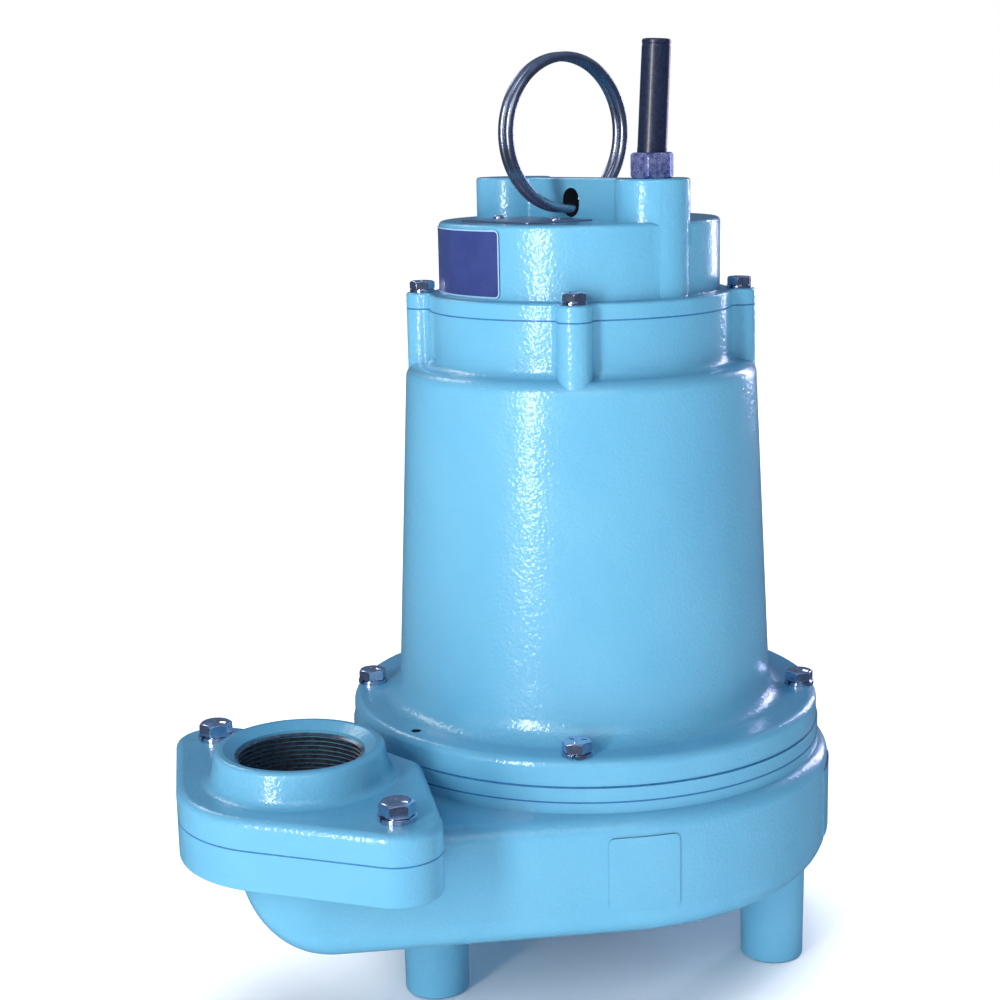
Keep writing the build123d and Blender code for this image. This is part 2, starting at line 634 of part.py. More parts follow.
def drive_screw(place):
    """Domed drive screw through the nameplate."""
    top = drum_top + NAMEPLATE_THICKNESS
    shank = disc(PLATE_SCREW_SHANK_RADIUS, drum_top - PLATE_SCREW_LENGTH,
                 PLATE_SCREW_LENGTH + NAMEPLATE_THICKNESS, place)
    head_round = PLATE_SCREW_HEAD_HEIGHT * PLATE_SCREW_DOME_SHARE
    head = disc(PLATE_SCREW_HEAD_RADIUS, top, PLATE_SCREW_HEAD_HEIGHT, place)
    head = fillet(edges_at(head, top + PLATE_SCREW_HEAD_HEIGHT), head_round)
    return shank + head


def side_label():
    """Bare curved label on the drum's left side."""
    bottom = cap_seat + LABEL_RISE
    inner = drum_radius + LABEL_CLEARANCE
    outer = inner + LABEL_THICKNESS
    shell = disc(outer, bottom, LABEL_HEIGHT) - disc(inner, bottom, LABEL_HEIGHT)
    half_chord = outer * math.sin(math.radians(LABEL_ARC / 2))
    window = Pos(outer, 0, bottom + LABEL_HEIGHT / 2) * Rot(0, 90, 0) * extrude(
        RectangleRounded(LABEL_HEIGHT, 2 * half_chord, LABEL_CORNER), outer / 2, both=True)
    return Rot(0, 0, LABEL_ANGLE) * (shell & window)


def impeller():
    """Shroud disc with backward-curved vanes below it and a hub on the shaft."""
    body = disc(impeller_radius, shroud_bottom, IMPELLER_SHROUD)
    body += disc(SHAFT_RADIUS + IMPELLER_HUB_WALL, shroud_bottom - VANE_HEIGHT / 2, VANE_HEIGHT / 2)
    arc = Circle(VANE_CURVE_RADIUS + VANE_THICKNESS / 2) - Circle(VANE_CURVE_RADIUS - VANE_THICKNESS / 2)
    arc = Pos(VANE_CURVE_RADIUS, 0) * arc
    arc &= Circle(impeller_radius) - Circle(VANE_INNER_RADIUS)
    arc &= Pos(0, impeller_radius / 2) * Rectangle(2 * impeller_radius, impeller_radius)
    for index in range(VANE_COUNT):
        body += Rot(0, 0, index * 360 / VANE_COUNT) * prism(arc, shroud_bottom - VANE_HEIGHT, VANE_HEIGHT)
    shaft_hole = SHAFT_RADIUS + SHAFT_FIT
    return body - disc(shaft_hole, shroud_bottom - VANE_HEIGHT, VANE_HEIGHT + IMPELLER_SHROUD)


def shaft_bottom():
    """Height of the shaft's lower end, inside the impeller nut."""
    return shroud_bottom - VANE_HEIGHT / 2 - IMPELLER_NUT_HEIGHT


def motor_shaft():
    """Shaft end from the motor down through the seal plate and the impeller."""
    bottom = shaft_bottom()
    return disc(SHAFT_RADIUS, bottom, housing_bottom - bottom)


def impeller_nut():
    """Hex nut that holds the impeller on the shaft."""
    bottom = shaft_bottom()
    nut = prism(hexagon(2 * (SHAFT_RADIUS + IMPELLER_NUT_WALL)), bottom, IMPELLER_NUT_HEIGHT)
    return nut - disc(SHAFT_RADIUS + THREAD_CLEARANCE, bottom, IMPELLER_NUT_HEIGHT)


def hex_bolt(place, seat, grip, radius, flats, head_height, thread_length):
    """Hex bolt: its head stands on the height seat, and grip is the thickness that it clamps."""
    head = prism(Pos(place.X, place.Y) * hexagon(flats), seat, head_height)
    length = grip + thread_length
    return head + disc(radius, seat - length, length, place)


def washer(place, seat, radius, thickness, bolt_radius):
    """Flat ring under a bolt's head."""
    ring = disc(radius, seat, thickness, place)
    return ring - disc(bolt_radius + WASHER_CLEARANCE, seat, thickness, place)


def bolted_joint(pieces, name, places, seat, below, bolt, ring):
    """Add a bolt and a washer at each place, with the bolt's thread below the height below."""
    radius, thickness = ring
    for label, place in places:
        pieces[f"{name}_washer_{label}"] = washer(place, seat, radius, thickness, bolt[0])
        head_seat = seat + thickness
        pieces[f"{name}_bolt_{label}"] = hex_bolt(place, head_seat, head_seat - below, *bolt)


def add_fasteners(pieces):
    """Bolts and washers of the motor's base, of its cap and of the discharge flange."""
    sides = ("right", "back", "left", "front")
    bolt = (BASE_BOLT_RADIUS, BASE_BOLT_FLATS, BASE_BOLT_HEAD_HEIGHT, BASE_BOLT_THREAD_LENGTH)
    ring = (BASE_WASHER_RADIUS, BASE_WASHER_THICKNESS)
    places = zip(sides, ring_bolt_points(base_bolt_circle))
    bolted_joint(pieces, "base", places, base_seat, casing_top, bolt, ring)
    bolt = (CAP_BOLT_RADIUS, CAP_BOLT_FLATS, CAP_BOLT_HEAD_HEIGHT, CAP_BOLT_THREAD_LENGTH)
    ring = (CAP_WASHER_RADIUS, CAP_WASHER_THICKNESS)
    places = zip(sides, ring_bolt_points(column_circle))
    bolted_joint(pieces, "cap", places, cap_seat, housing_top, bolt, ring)
    bolt = (OVAL_BOLT_RADIUS, OVAL_BOLT_FLATS, OVAL_BOLT_HEAD_HEIGHT, OVAL_BOLT_THREAD_LENGTH)
    ring = (OVAL_WASHER_RADIUS, OVAL_WASHER_THICKNESS)
    places = zip(("front", "back"), oval_bolt_points())
    bolted_joint(pieces, "discharge", places, oval_seat, oval_face_top, bolt, ring)


def build_pieces():
    """All pieces by node name, round the shaft axis."""
    pieces = {}
    base_points = ring_bolt_points(base_bolt_circle)
    base_hole = BASE_BOLT_RADIUS + BOLT_CLEARANCE
    pieces["volute_casing"] = volute_casing()
    pieces["discharge_gasket"] = discharge_gasket()
    pieces["discharge_flange"] = discharge_flange()
    pieces["casing_gasket"] = ring_gasket(
        seal_plate_radius, rim_opening_radius, casing_top, base_points, base_hole)
    pieces["seal_plate"] = seal_plate()
    pieces["motor_gasket"] = ring_gasket(
        BASE_FLANGE_RADIUS, rim_opening_radius, plate_top, base_points, base_hole)
    pieces["motor_housing"] = motor_housing()
    pieces["cap_gasket"] = cap_gasket()
    pieces["motor_cap"] = motor_cap()
    pieces["motor_shaft"] = motor_shaft()
    pieces["impeller"] = impeller()
    pieces["impeller_nut"] = impeller_nut()
    pieces["gland_nut"] = gland_nut()
    pieces["strain_relief"] = strain_relief()
    pieces["nameplate"] = nameplate()
    pieces["side_label"] = side_label()
    for label, place in zip(("left", "right"), screw_points()):
        pieces[f"nameplate_screw_{label}"] = drive_screw(place)
    add_fasteners(pieces)
    pieces["lifting_ring"] = lifting_ring()
    return pieces


def footprint_centre(pieces):
    """Middle of the rectangle that the whole pump covers, seen from above."""
    boxes = [piece.bounding_box() for piece in pieces.values()]
    low_x = min(box.min.X for box in boxes)
    high_x = max(box.max.X for box in boxes)
    low_y = min(box.min.Y for box in boxes)
    high_y = max(box.max.Y for box in boxes)
    return Vector((low_x + high_x) / 2, (low_y + high_y) / 2, 0)


def place_on_origin(pieces):
    """Move every piece so that the footprint's middle is over the origin."""
    centre = footprint_centre(pieces)
    return {name: Pos(-centre.X, -centre.Y, 0) * piece for name, piece in pieces.items()}


os.makedirs("parts", exist_ok=True)
for node, solid in place_on_origin(build_pieces()).items():
    export_step(solid, f"parts/{node}.step")
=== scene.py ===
"""Dressed model of a submersible effluent pump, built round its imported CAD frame.

The enamelled castings get soft cast edges, and the fasteners, the lifting ring, the cable gland, the
discharge thread and the plates are modelled in full. Every length is in millimetres until it reaches a mesh.
"""

from __future__ import annotations

import json
import logging
import math
from dataclasses import dataclass, field
from enum import Enum
from typing import Any, Callable, Iterable, Sequence

import bpy
from mathutils import Matrix, Vector


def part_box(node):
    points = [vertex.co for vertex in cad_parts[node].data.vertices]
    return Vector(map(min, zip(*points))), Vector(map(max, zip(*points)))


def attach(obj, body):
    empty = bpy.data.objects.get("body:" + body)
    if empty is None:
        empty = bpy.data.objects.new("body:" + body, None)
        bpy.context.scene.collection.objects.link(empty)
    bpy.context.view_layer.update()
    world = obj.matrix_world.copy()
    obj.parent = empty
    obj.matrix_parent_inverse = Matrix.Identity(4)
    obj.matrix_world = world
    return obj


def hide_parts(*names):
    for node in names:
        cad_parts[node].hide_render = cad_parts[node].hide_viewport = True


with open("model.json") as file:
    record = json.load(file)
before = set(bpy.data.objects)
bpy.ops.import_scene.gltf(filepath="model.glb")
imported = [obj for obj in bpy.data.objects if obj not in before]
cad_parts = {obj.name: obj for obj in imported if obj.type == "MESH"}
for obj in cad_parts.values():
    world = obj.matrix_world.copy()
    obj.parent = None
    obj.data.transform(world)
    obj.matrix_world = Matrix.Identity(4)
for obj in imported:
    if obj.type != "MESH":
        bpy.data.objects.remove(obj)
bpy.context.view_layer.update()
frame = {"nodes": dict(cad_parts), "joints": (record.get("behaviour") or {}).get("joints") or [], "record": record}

MM = 0.001
UP = Vector((0.0, 0.0, 1.0))
LOG = logging.getLogger("effluent_pump")

Station = tuple[float, float]
Settings = dict[str, Any]


class Body(Enum):
    """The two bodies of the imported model."""

    PUMP = "pump"
    RING = "ring"


class Slot(Enum):
    """The record's material slots."""

    ENAMEL = "blue_enamel"
    GASKET = "gasket_fibre"
    ZINC = "zinc_steel"
    GLAND = "gland_zinc"
    RING = "ring_steel"
    RUBBER = "black_rubber"
    PLATE = "plate_metal"
    LABEL = "label_vinyl"
    SHAFT = "shaft_steel"
    IRON = "impeller_iron"


# ---- Colours and nodes -------------------------------------------------------------------------


def linear(hex_colour: str) -> tuple[float, float, float, float]:
    """Turn an sRGB hex colour into a linear one.

    Args:
        hex_colour: Six hex digits, without a sign in front.

    Returns:
        Red, green, blue and full alpha.
    """
    channels = [int(hex_colour[index:index + 2], 16) / 255 for index in (0, 2, 4)]
    red, green, blue = [c / 12.92 if c <= 0.04045 else ((c + 0.055) / 1.055) ** 2.4 for c in channels]
    return (red, green, blue, 1.0)


def per_metre(size_mm: float) -> float:
    """Scale of a texture whose features are size_mm across."""
    return 1.0 / (size_mm * MM)


def add_node(
    tree: bpy.types.NodeTree, kind: str, settings: Settings | None = None, links: Settings | None = None
) -> bpy.types.Node:
    """Add a node to a tree, with its settings and its links.

    Args:
        tree: The node tree that gets the node.
        kind: Type of the node, without the ShaderNode that every name starts with.
        settings: Values by the name of an attribute, or by the name or number of an input socket.
        links: Output sockets by the name or number of the input socket that each feeds.

    Returns:
        The new node.
    """
    node = tree.nodes.new("ShaderNode" + kind)
    for name, value in (settings or {}).items():
        if isinstance(name, str) and hasattr(node, name):
            setattr(node, name, value)
        else:
            node.inputs[name].default_value = value
    for name, socket in (links or {}).items():
        tree.links.new(socket, node.inputs[name])
    return node


def new_material(name: str) -> tuple[bpy.types.Material, bpy.types.NodeTree, bpy.types.NodeSocket]:
    """Start a material with an empty tree and the Object coordinates that its patterns read.

    Args:
        name: Name of the material.

    Returns:
        The material, its node tree and the coordinate socket.
    """
    material = bpy.data.materials.new(name)
    material.use_nodes = True
    tree = material.node_tree
    tree.nodes.clear()
    place = add_node(tree, "TexCoord").outputs["Object"]
    return material, tree, place


# ---- Finishes ----------------------------------------------------------------------------------


@dataclass(frozen=True)
class EnamelPaint:
    """Sprayed gloss enamel on sand-cast iron.

    The gloss on top takes the grain of the sand under it, so its highlights break into small sparks, and
    the colour lies a little deeper where the paint ran thick.
    """

    name: str = "sky_blue_enamel"
    face_hex: str = "70B5D3"
    deep_hex: str = "5EAACC"
    cloud_mm: float = 45.0
    sand_mm: float = 1.8
    peel_mm: float = 0.9
    swell_mm: float = 15.0
    sand_depth_mm: float = 0.22
    peel_depth_mm: float = 0.012
    swell_depth_mm: float = 0.3

    def build(self) -> bpy.types.Material:
        """Return the enamel's material."""
        material, tree, place = new_material(self.name)
        cloud = add_node(
            tree, "TexNoise", {"Scale": per_metre(self.cloud_mm), "Detail": 2.0}, {"Vector": place})
        colour = add_node(
            tree, "Mix", {"data_type": "RGBA", 6: linear(self.deep_hex), 7: linear(self.face_hex)},
            {0: cloud.outputs["Fac"]})
        sand = add_node(
            tree, "TexNoise", {"Scale": per_metre(self.sand_mm), "Detail": 1.0, "Roughness": 0.5},
            {"Vector": place})
        peel = add_node(
            tree, "TexNoise", {"Scale": per_metre(self.peel_mm), "Detail": 1.0}, {"Vector": place})
        swell = add_node(
            tree, "TexNoise", {"Scale": per_metre(self.swell_mm), "Detail": 1.0}, {"Vector": place})
        low = add_node(
            tree, "Bump", {"Strength": 1.0, "Distance": self.swell_depth_mm * MM},
            {"Height": swell.outputs["Fac"]})
        fine = add_node(
            tree, "Bump", {"Strength": 1.0, "Distance": self.peel_depth_mm * MM},
            {"Height": peel.outputs["Fac"], "Normal": low.outputs["Normal"]})
        sparks = add_node(
            tree, "Bump", {"Strength": 1.0, "Distance": self.sand_depth_mm * MM},
            {"Height": sand.outputs["Fac"], "Normal": fine.outputs["Normal"]})
        gloss = add_node(
            tree, "MapRange", {"From Min": 0.35, "From Max": 0.65, "To Min": 0.3, "To Max": 0.4},
            {"Value": sand.outputs["Fac"]})
        shader = add_node(
            tree, "BsdfPrincipled",
            {"IOR": 1.45, "Coat Weight": 0.65, "Coat Roughness": 0.06, "Coat IOR": 1.5},
            {"Base Color": colour.outputs[2], "Roughness": gloss.outputs["Result"],
             "Normal": sparks.outputs["Normal"], "Coat Normal": sparks.outputs["Normal"]})
        add_node(tree, "OutputMaterial", None, {"Surface": shader.outputs["BSDF"]})
        return material


@dataclass(frozen=True)
class PlatedMetal:
    """Metal with a mottled plated, drawn or rolled skin.

    The two tones and the roughness wander together, so flat faces show soft patches and small edges
    stay bright.
    """

    name: str
    light_hex: str
    dark_hex: str
    mottle_mm: float
    grain_mm: float
    rough_low: float
    rough_high: float
    grain_depth_mm: float = 0.01
    metallic: float = 1.0

    def build(self) -> bpy.types.Material:
        """Return the metal's material."""
        material, tree, place = new_material(self.name)
        mottle = add_node(
            tree, "TexNoise", {"Scale": per_metre(self.mottle_mm), "Detail": 4.0, "Roughness": 0.6},
            {"Vector": place})
        spread = add_node(
            tree, "MapRange", {"From Min": 0.36, "From Max": 0.64}, {"Value": mottle.outputs["Fac"]})
        colour = add_node(
            tree, "Mix", {"data_type": "RGBA", 6: linear(self.dark_hex), 7: linear(self.light_hex)},
            {0: spread.outputs["Result"]})
        grain = add_node(
            tree, "TexNoise", {"Scale": per_metre(self.grain_mm), "Detail": 2.0}, {"Vector": place})
        rough = add_node(
            tree, "MapRange",
            {"From Min": 0.3, "From Max": 0.7, "To Min": self.rough_low, "To Max": self.rough_high},
            {"Value": grain.outputs["Fac"]})
        bump = add_node(
            tree, "Bump", {"Strength": 1.0, "Distance": self.grain_depth_mm * MM},
            {"Height": grain.outputs["Fac"]})
        shader = add_node(
            tree, "BsdfPrincipled", {"Metallic": self.metallic},
            {"Base Color": colour.outputs[2], "Roughness": rough.outputs["Result"],
             "Normal": bump.outputs["Normal"]})
        add_node(tree, "OutputMaterial", None, {"Surface": shader.outputs["BSDF"]})
        return material


@dataclass(frozen=True)
class BrushedPlate:
    """Thin rolled sheet metal, brushed one way before it was cut.

    Fine scratches lie along the plate and stretch its highlight across them.
    """

    name: str = "brushed_plate"
    light_hex: str = "A3A7BC"
    dark_hex: str = "7E829C"
    brush_width_mm: float = 0.5
    brush_length_mm: float = 18.0
    turn_degrees: float = -48.0

    def build(self) -> bpy.types.Material:
        """Return the brushed plate's material."""
        material, tree, place = new_material(self.name)
        turned = add_node(
            tree, "Mapping",
            {"Rotation": (0.0, 0.0, -math.radians(self.turn_degrees)),
             "Scale": (self.brush_width_mm / self.brush_length_mm, 1.0, 1.0)},
            {"Vector": place})
        brush = add_node(
            tree, "TexNoise", {"Scale": per_metre(self.brush_width_mm), "Detail": 2.0},
            {"Vector": turned.outputs["Vector"]})
        colour = add_node(
            tree, "Mix", {"data_type": "RGBA", 6: linear(self.dark_hex), 7: linear(self.light_hex)},
            {0: brush.outputs["Fac"]})
        rough = add_node(
            tree, "MapRange", {"To Min": 0.3, "To Max": 0.48}, {"Value": brush.outputs["Fac"]})
        bump = add_node(
            tree, "Bump", {"Strength": 1.0, "Distance": 0.01 * MM}, {"Height": brush.outputs["Fac"]})
        shader = add_node(
            tree, "BsdfPrincipled", {"Metallic": 0.85},
            {"Base Color": colour.outputs[2], "Roughness": rough.outputs["Result"],
             "Normal": bump.outputs["Normal"]})
        add_node(tree, "OutputMaterial", None, {"Surface": shader.outputs["BSDF"]})
        return material


@dataclass(frozen=True)
class SoftSheet:
    """Moulded rubber, printed vinyl, painted fibre or bare iron: a dull skin with a fine grain.

    The grain dulls the highlight, and the clear layer, where there is one, keeps a thin gloss over it.
    """

    name: str
    light_hex: str
    dark_hex: str
    grain_mm: float
    rough_low: float
    rough_high: float
    grain_depth_mm: float = 0.02
    coat: float = 0.0
    metallic: float = 0.0

    def build(self) -> bpy.types.Material:
        """Return the sheet's material."""
        material, tree, place = new_material(self.name)
        grain = add_node(
            tree, "TexNoise", {"Scale": per_metre(self.grain_mm), "Detail": 4.0, "Roughness": 0.6},
            {"Vector": place})
        spread = add_node(
            tree, "MapRange", {"From Min": 0.35, "From Max": 0.65}, {"Value": grain.outputs["Fac"]})
        colour = add_node(
            tree, "Mix", {"data_type": "RGBA", 6: linear(self.dark_hex), 7: linear(self.light_hex)},
            {0: spread.outputs["Result"]})
        rough = add_node(
            tree, "MapRange", {"To Min": self.rough_low, "To Max": self.rough_high},
            {"Value": spread.outputs["Result"]})
        bump = add_node(
            tree, "Bump", {"Strength": 1.0, "Distance": self.grain_depth_mm * MM},
            {"Height": grain.outputs["Fac"]})
        shader = add_node(
            tree, "BsdfPrincipled",
            {"Metallic": self.metallic, "IOR": 1.5, "Coat Weight": self.coat, "Coat Roughness": 0.12},
            {"Base Color": colour.outputs[2], "Roughness": rough.outputs["Result"],
             "Normal": bump.outputs["Normal"]})
        add_node(tree, "OutputMaterial", None, {"Surface": shader.outputs["BSDF"]})
        return material


class Finishes:
    """Every finish of the pump, each built once."""

    def __init__(self) -> None:
        """Build the materials."""
        self.enamel = EnamelPaint().build()
        self.zinc = PlatedMetal("bright_zinc_plate", "CDD4E8", "B4BCD4", 2.4, 0.5, 0.14, 0.24).build()
        self.gland = PlatedMetal(
            "blue_zinc_plate", "B4BAE6", "6266B2", 2.6, 0.8, 0.2, 0.38, metallic=0.75).build()
        self.ring = PlatedMetal("drawn_steel_wire", "A4AABB", "8E94A5", 6.0, 4.0, 0.25, 0.31, 0.002).build()
        self.shaft = PlatedMetal("turned_shaft_steel", "C3C4C6", "96989C", 3.0, 0.4, 0.2, 0.32).build()
        self.plate = BrushedPlate().build()
        self.rubber = SoftSheet(
            "moulded_black_rubber", "1D2848", "121829", 1.2, 0.3, 0.42, coat=0.2).build()
        self.label = SoftSheet(
            "navy_vinyl", "35437F", "2E3B74", 9.0, 0.3, 0.36, grain_depth_mm=0.004, coat=0.3).build()
        self.label_rim = SoftSheet("pale_vinyl_rim", "9FC3E2", "93B8DA", 6.0, 0.3, 0.4).build()
        self.gasket = SoftSheet("painted_gasket_fibre", "2A79AE", "1B5E90", 1.5, 0.5, 0.7).build()
        self.iron = SoftSheet(
            "cast_impeller_iron", "5A5D61", "3E4044", 1.8, 0.45, 0.62, grain_depth_mm=0.06,
            metallic=0.6).build()
        self.bare_iron = SoftSheet(
            "cut_thread_iron", "7C828F", "626773", 3.0, 0.26, 0.36, grain_depth_mm=0.01,
            metallic=0.85).build()
        # Painted shade: a near-black laid in the ring's hole through the ridge and in the weep hole, for the
        # shadow inside them.
        self.bore_shadow = SoftSheet("painted_shade_in_holes", "24262B", "15171B", 1.0, 0.5, 0.7).build()


# ---- Bench: shaping meshes with edit-mode operators ---------------------------------------------


def deselect_all() -> None:
    """Leave edit mode and deselect every object."""
    if bpy.context.object and bpy.context.object.mode != "OBJECT":
        bpy.ops.object.mode_set(mode="OBJECT")
    bpy.ops.object.select_all(action="DESELECT")


class Workpiece:
    """One mesh object on the bench, shaped as by hand and then finished."""

    def __init__(self, obj: bpy.types.Object) -> None:
        """Take an object on the bench."""
        self.obj = obj

    def activate(self) -> None:
        """Make this the only selected object and the active one."""
        deselect_all()
        self.obj.select_set(True)
        bpy.context.view_layer.objects.active = self.obj

    def edit(self, select: str = "SELECT") -> None:
        """Open the mesh in edit mode with everything selected, or nothing.

        Args:
            select: SELECT or DESELECT.
        """
        self.activate()
        bpy.ops.object.mode_set(mode="EDIT")
        bpy.ops.mesh.select_mode(type="VERT")
        bpy.ops.mesh.select_all(action=select)

    def close(self) -> None:
        """Leave edit mode."""
        bpy.ops.object.mode_set(mode="OBJECT")

    def pick_faces(self, wanted: Callable[[bpy.types.MeshPolygon], bool]) -> int:
        """Select the faces that a test wants, and open them in edit mode.

        Args:
            wanted: Says of a face whether it is selected.

        Returns:
            How many faces are selected.
        """
        self.edit("DESELECT")
        self.close()
        count = 0
        for face in self.obj.data.polygons:
            face.select = wanted(face)
            count += face.select
        bpy.ops.object.mode_set(mode="EDIT")
        bpy.ops.mesh.select_mode(type="FACE")
        return count

    def merge(self, reach_mm: float = 0.01) -> None:
        """Join the vertices that lie within reach_mm of each other."""
        self.edit()
        bpy.ops.mesh.remove_doubles(threshold=reach_mm * MM)
        self.close()

    def face_outwards(self) -> None:
        """Turn every face outwards."""
        self.edit()
        bpy.ops.mesh.normals_make_consistent(inside=False)
        self.close()

    def modify(self, kind: str, settings: Settings) -> None:
        """Add a modifier and apply it.

        Args:
            kind: Type of the modifier.
            settings: Its values by name.
        """
        self.activate()
        modifier = self.obj.modifiers.new(kind.title(), kind)
        for name, value in settings.items():
            setattr(modifier, name, value)
        bpy.ops.object.modifier_apply(modifier=modifier.name)

    def soften(self, width_mm: float, segments: int = 2, angle: float = 35.0, clamp: bool = True) -> None:
        """Round the sharp edges with a bevel.

        Args:
            width_mm: Width of the bevel.
            segments: Faces across the bevel.
            angle: Edges that turn by more than this many degrees are rounded.
            clamp: Whether the bevel stops where two would meet.
        """
        self.modify("BEVEL", {
            "width": width_mm * MM, "segments": segments, "limit_method": "ANGLE",
            "angle_limit": math.radians(angle), "use_clamp_overlap": clamp, "harden_normals": False})

    def shade(self, angle: float = 35.0, weighted: bool = True) -> None:
        """Smooth the shading across edges that turn by less than an angle in degrees."""
        self.activate()
        bpy.ops.object.shade_smooth_by_angle(angle=math.radians(angle))
        if weighted:
            self.modify("WEIGHTED_NORMAL", {"keep_sharp": True, "weight": 50})

    def turn_mesh(self, matrix: Matrix) -> None:
        """Place the mesh, and leave its object at the origin."""
        self.obj.data.transform(matrix)
        self.obj.data.update()

    def dress(self, material: bpy.types.Material) -> None:
        """Give the piece one material."""
        self.obj.data.materials.clear()
        self.obj.data.materials.append(material)

    def settle(self, slot: Slot, body: Body, nodes: Sequence[str] = ()) -> None:
        """Let the piece ride on its body and stand for its nodes.

        Args:
            slot: The record's slot for its finish; not used.
            body: The body that it moves with.
            nodes: CAD nodes that it stands for.
        """
        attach(self.obj, body.value)
        if nodes:
            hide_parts(*nodes)
        LOG.info("%s: %d faces, stands for %s", self.obj.name, len(self.obj.data.polygons), list(nodes))

    def copy(self, name: str) -> "Workpiece":
        """Return a copy with its own mesh."""
        twin = self.obj.copy()
        twin.data = self.obj.data.copy()
        twin.name = twin.data.name = name
        bpy.context.scene.collection.objects.link(twin)
        return Workpiece(twin)

    def discard(self) -> None:
        """Take the object away again."""
        bpy.data.objects.remove(self.obj)

    def absorb(self, others: Iterable["Workpiece"]) -> None:
        """Join other workpieces into this one."""
        self.activate()
        for other in others:
            other.obj.select_set(True)
        bpy.ops.object.join()


def turned(name: str, stations: Sequence[Station], sides: int = 48, ring: bool = False) -> Workpiece:
    """Turn a profile round the Z axis by extruding and scaling a circle from station to station.

    Args:
        name: Name of the piece.
        stations: Radius and height of each point of the profile, in millimetres, from the bottom up.
        sides: Flat sides of the circle.
        ring: Whether the profile closes on itself round a bore, or else ends in a flat cap.

    Returns:
        The turned piece.
    """
    deselect_all()
    radius, height = stations[0]
    bpy.ops.mesh.primitive_circle_add(
        vertices=sides, radius=radius * MM, fill_type="NOTHING" if ring else "NGON",
        location=(0.0, 0.0, height * MM))
    piece = Workpiece(bpy.context.object)
    piece.obj.name = piece.obj.data.name = name
    bpy.ops.object.transform_apply(location=True, rotation=True, scale=True)
    piece.edit()
    bpy.ops.mesh.select_mode(type="EDGE" if ring else "FACE")
    route = list(stations[1:]) + ([stations[0]] if ring else [])
    for next_radius, next_height in route:
        rise = (next_height - height) * MM
        bpy.ops.mesh.extrude_region_move(TRANSFORM_OT_translate={"value": (0.0, 0.0, rise)})
        share = next_radius / radius
        bpy.ops.transform.resize(
            value=(share, share, 1.0), center_override=(0.0, 0.0, next_height * MM))
        radius, height = next_radius, next_height
    piece.close()
    if ring:
        piece.merge(0.001)
    piece.face_outwards()
    return piece


def cut_hexagon(piece: Workpiece, flats_mm: float, turn: float = 0.0) -> None:
    """Cut six flats on a turned piece, as a mill does.

    Args:
        piece: The turned piece, wider than the hexagon's corners.
        flats_mm: Width across the flats.
        turn: Direction of the first corner in degrees.
    """
    for index in range(6):
        angle = math.radians(turn + 30.0 + 60.0 * index)
        outward = Vector((math.cos(angle), math.sin(angle), 0.0))
        piece.edit()
        bpy.ops.mesh.bisect(
            plane_co=outward * (flats_mm / 2 * MM), plane_no=outward, use_fill=True, clear_outer=True,
            threshold=0.001 * MM)
        piece.close()


# ---- Castings -----------------------------------------------------------------------------------


def node_copy(node: str, name: str) -> Workpiece:
    """Copy a CAD node on to the bench, merge its loose triangles and join those that lie level.

    Args:
        node: The CAD node.
        name: Name of the copy.

    Returns:
        The copy, which doesn't stand for the node yet.
    """
    source = frame["nodes"][node]
    twin = source.copy()
    twin.data = source.data.copy()
    twin.parent = None
    for key in [key for key in twin.keys() if key.startswith("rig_")]:
        del twin[key]
    twin.name = twin.data.name = name
    bpy.context.scene.collection.objects.link(twin)
    piece = Workpiece(twin)
    piece.activate()
    bpy.ops.mesh.customdata_custom_splitnormals_clear()
    piece.merge(0.005)
    piece.edit()
    bpy.ops.mesh.dissolve_limited(angle_limit=math.radians(0.2))
    piece.close()
    return piece


@dataclass
class VoluteCasting:
    """The spiral casting: enamel outside, and bare iron in its water passage."""

    finishes: Finishes
    wall: float = 8.0
    rim: float = 12.0
    gasket_gap: float = 0.5
    riser_reach: float = 28.5
    cavity_reach: float = 130.0

    def build(self) -> None:
        """Copy the node and give the faces that look into the passage their bare iron."""
        piece = node_copy("volute_casing", "volute_cast")
        piece.shade(32.0)
        piece.dress(self.finishes.enamel)
        piece.obj.data.materials.append(self.finishes.bare_iron)
        mouth = Vector(port("discharge_port")["pos_m"])
        inlet = port("suction_inlet")
        floor = inlet["pos_m"][2] + (self.wall - inlet["dims"]["length_mm"] / 2 - self.gasket_gap) * MM
        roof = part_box("volute_casing")[1].z
        axis = shaft_axis()
        for face in piece.obj.data.polygons:
            centre, normal = face.center, face.normal
            from_shaft = Vector((centre.x - axis.x, centre.y - axis.y, 0.0))
            from_mouth = Vector((centre.x - mouth.x, centre.y - mouth.y, 0.0))
            in_riser = from_mouth.length < self.riser_reach * MM and centre.z < roof - self.gasket_gap * MM
            riser_wall = in_riser and (normal.z > 0.2 or from_mouth.dot(normal) < 0.0)
            in_cavity = floor < centre.z < roof - (self.rim - self.gasket_gap) * MM
            near = from_shaft.length < self.cavity_reach * MM
            looks_in = normal.z > 0.9 or from_shaft.dot(normal) < -0.0001
            if riser_wall or (in_cavity and near and looks_in):
                face.material_index = 1
        piece.settle(Slot.ENAMEL, Body.PUMP, ["volute_casing"])


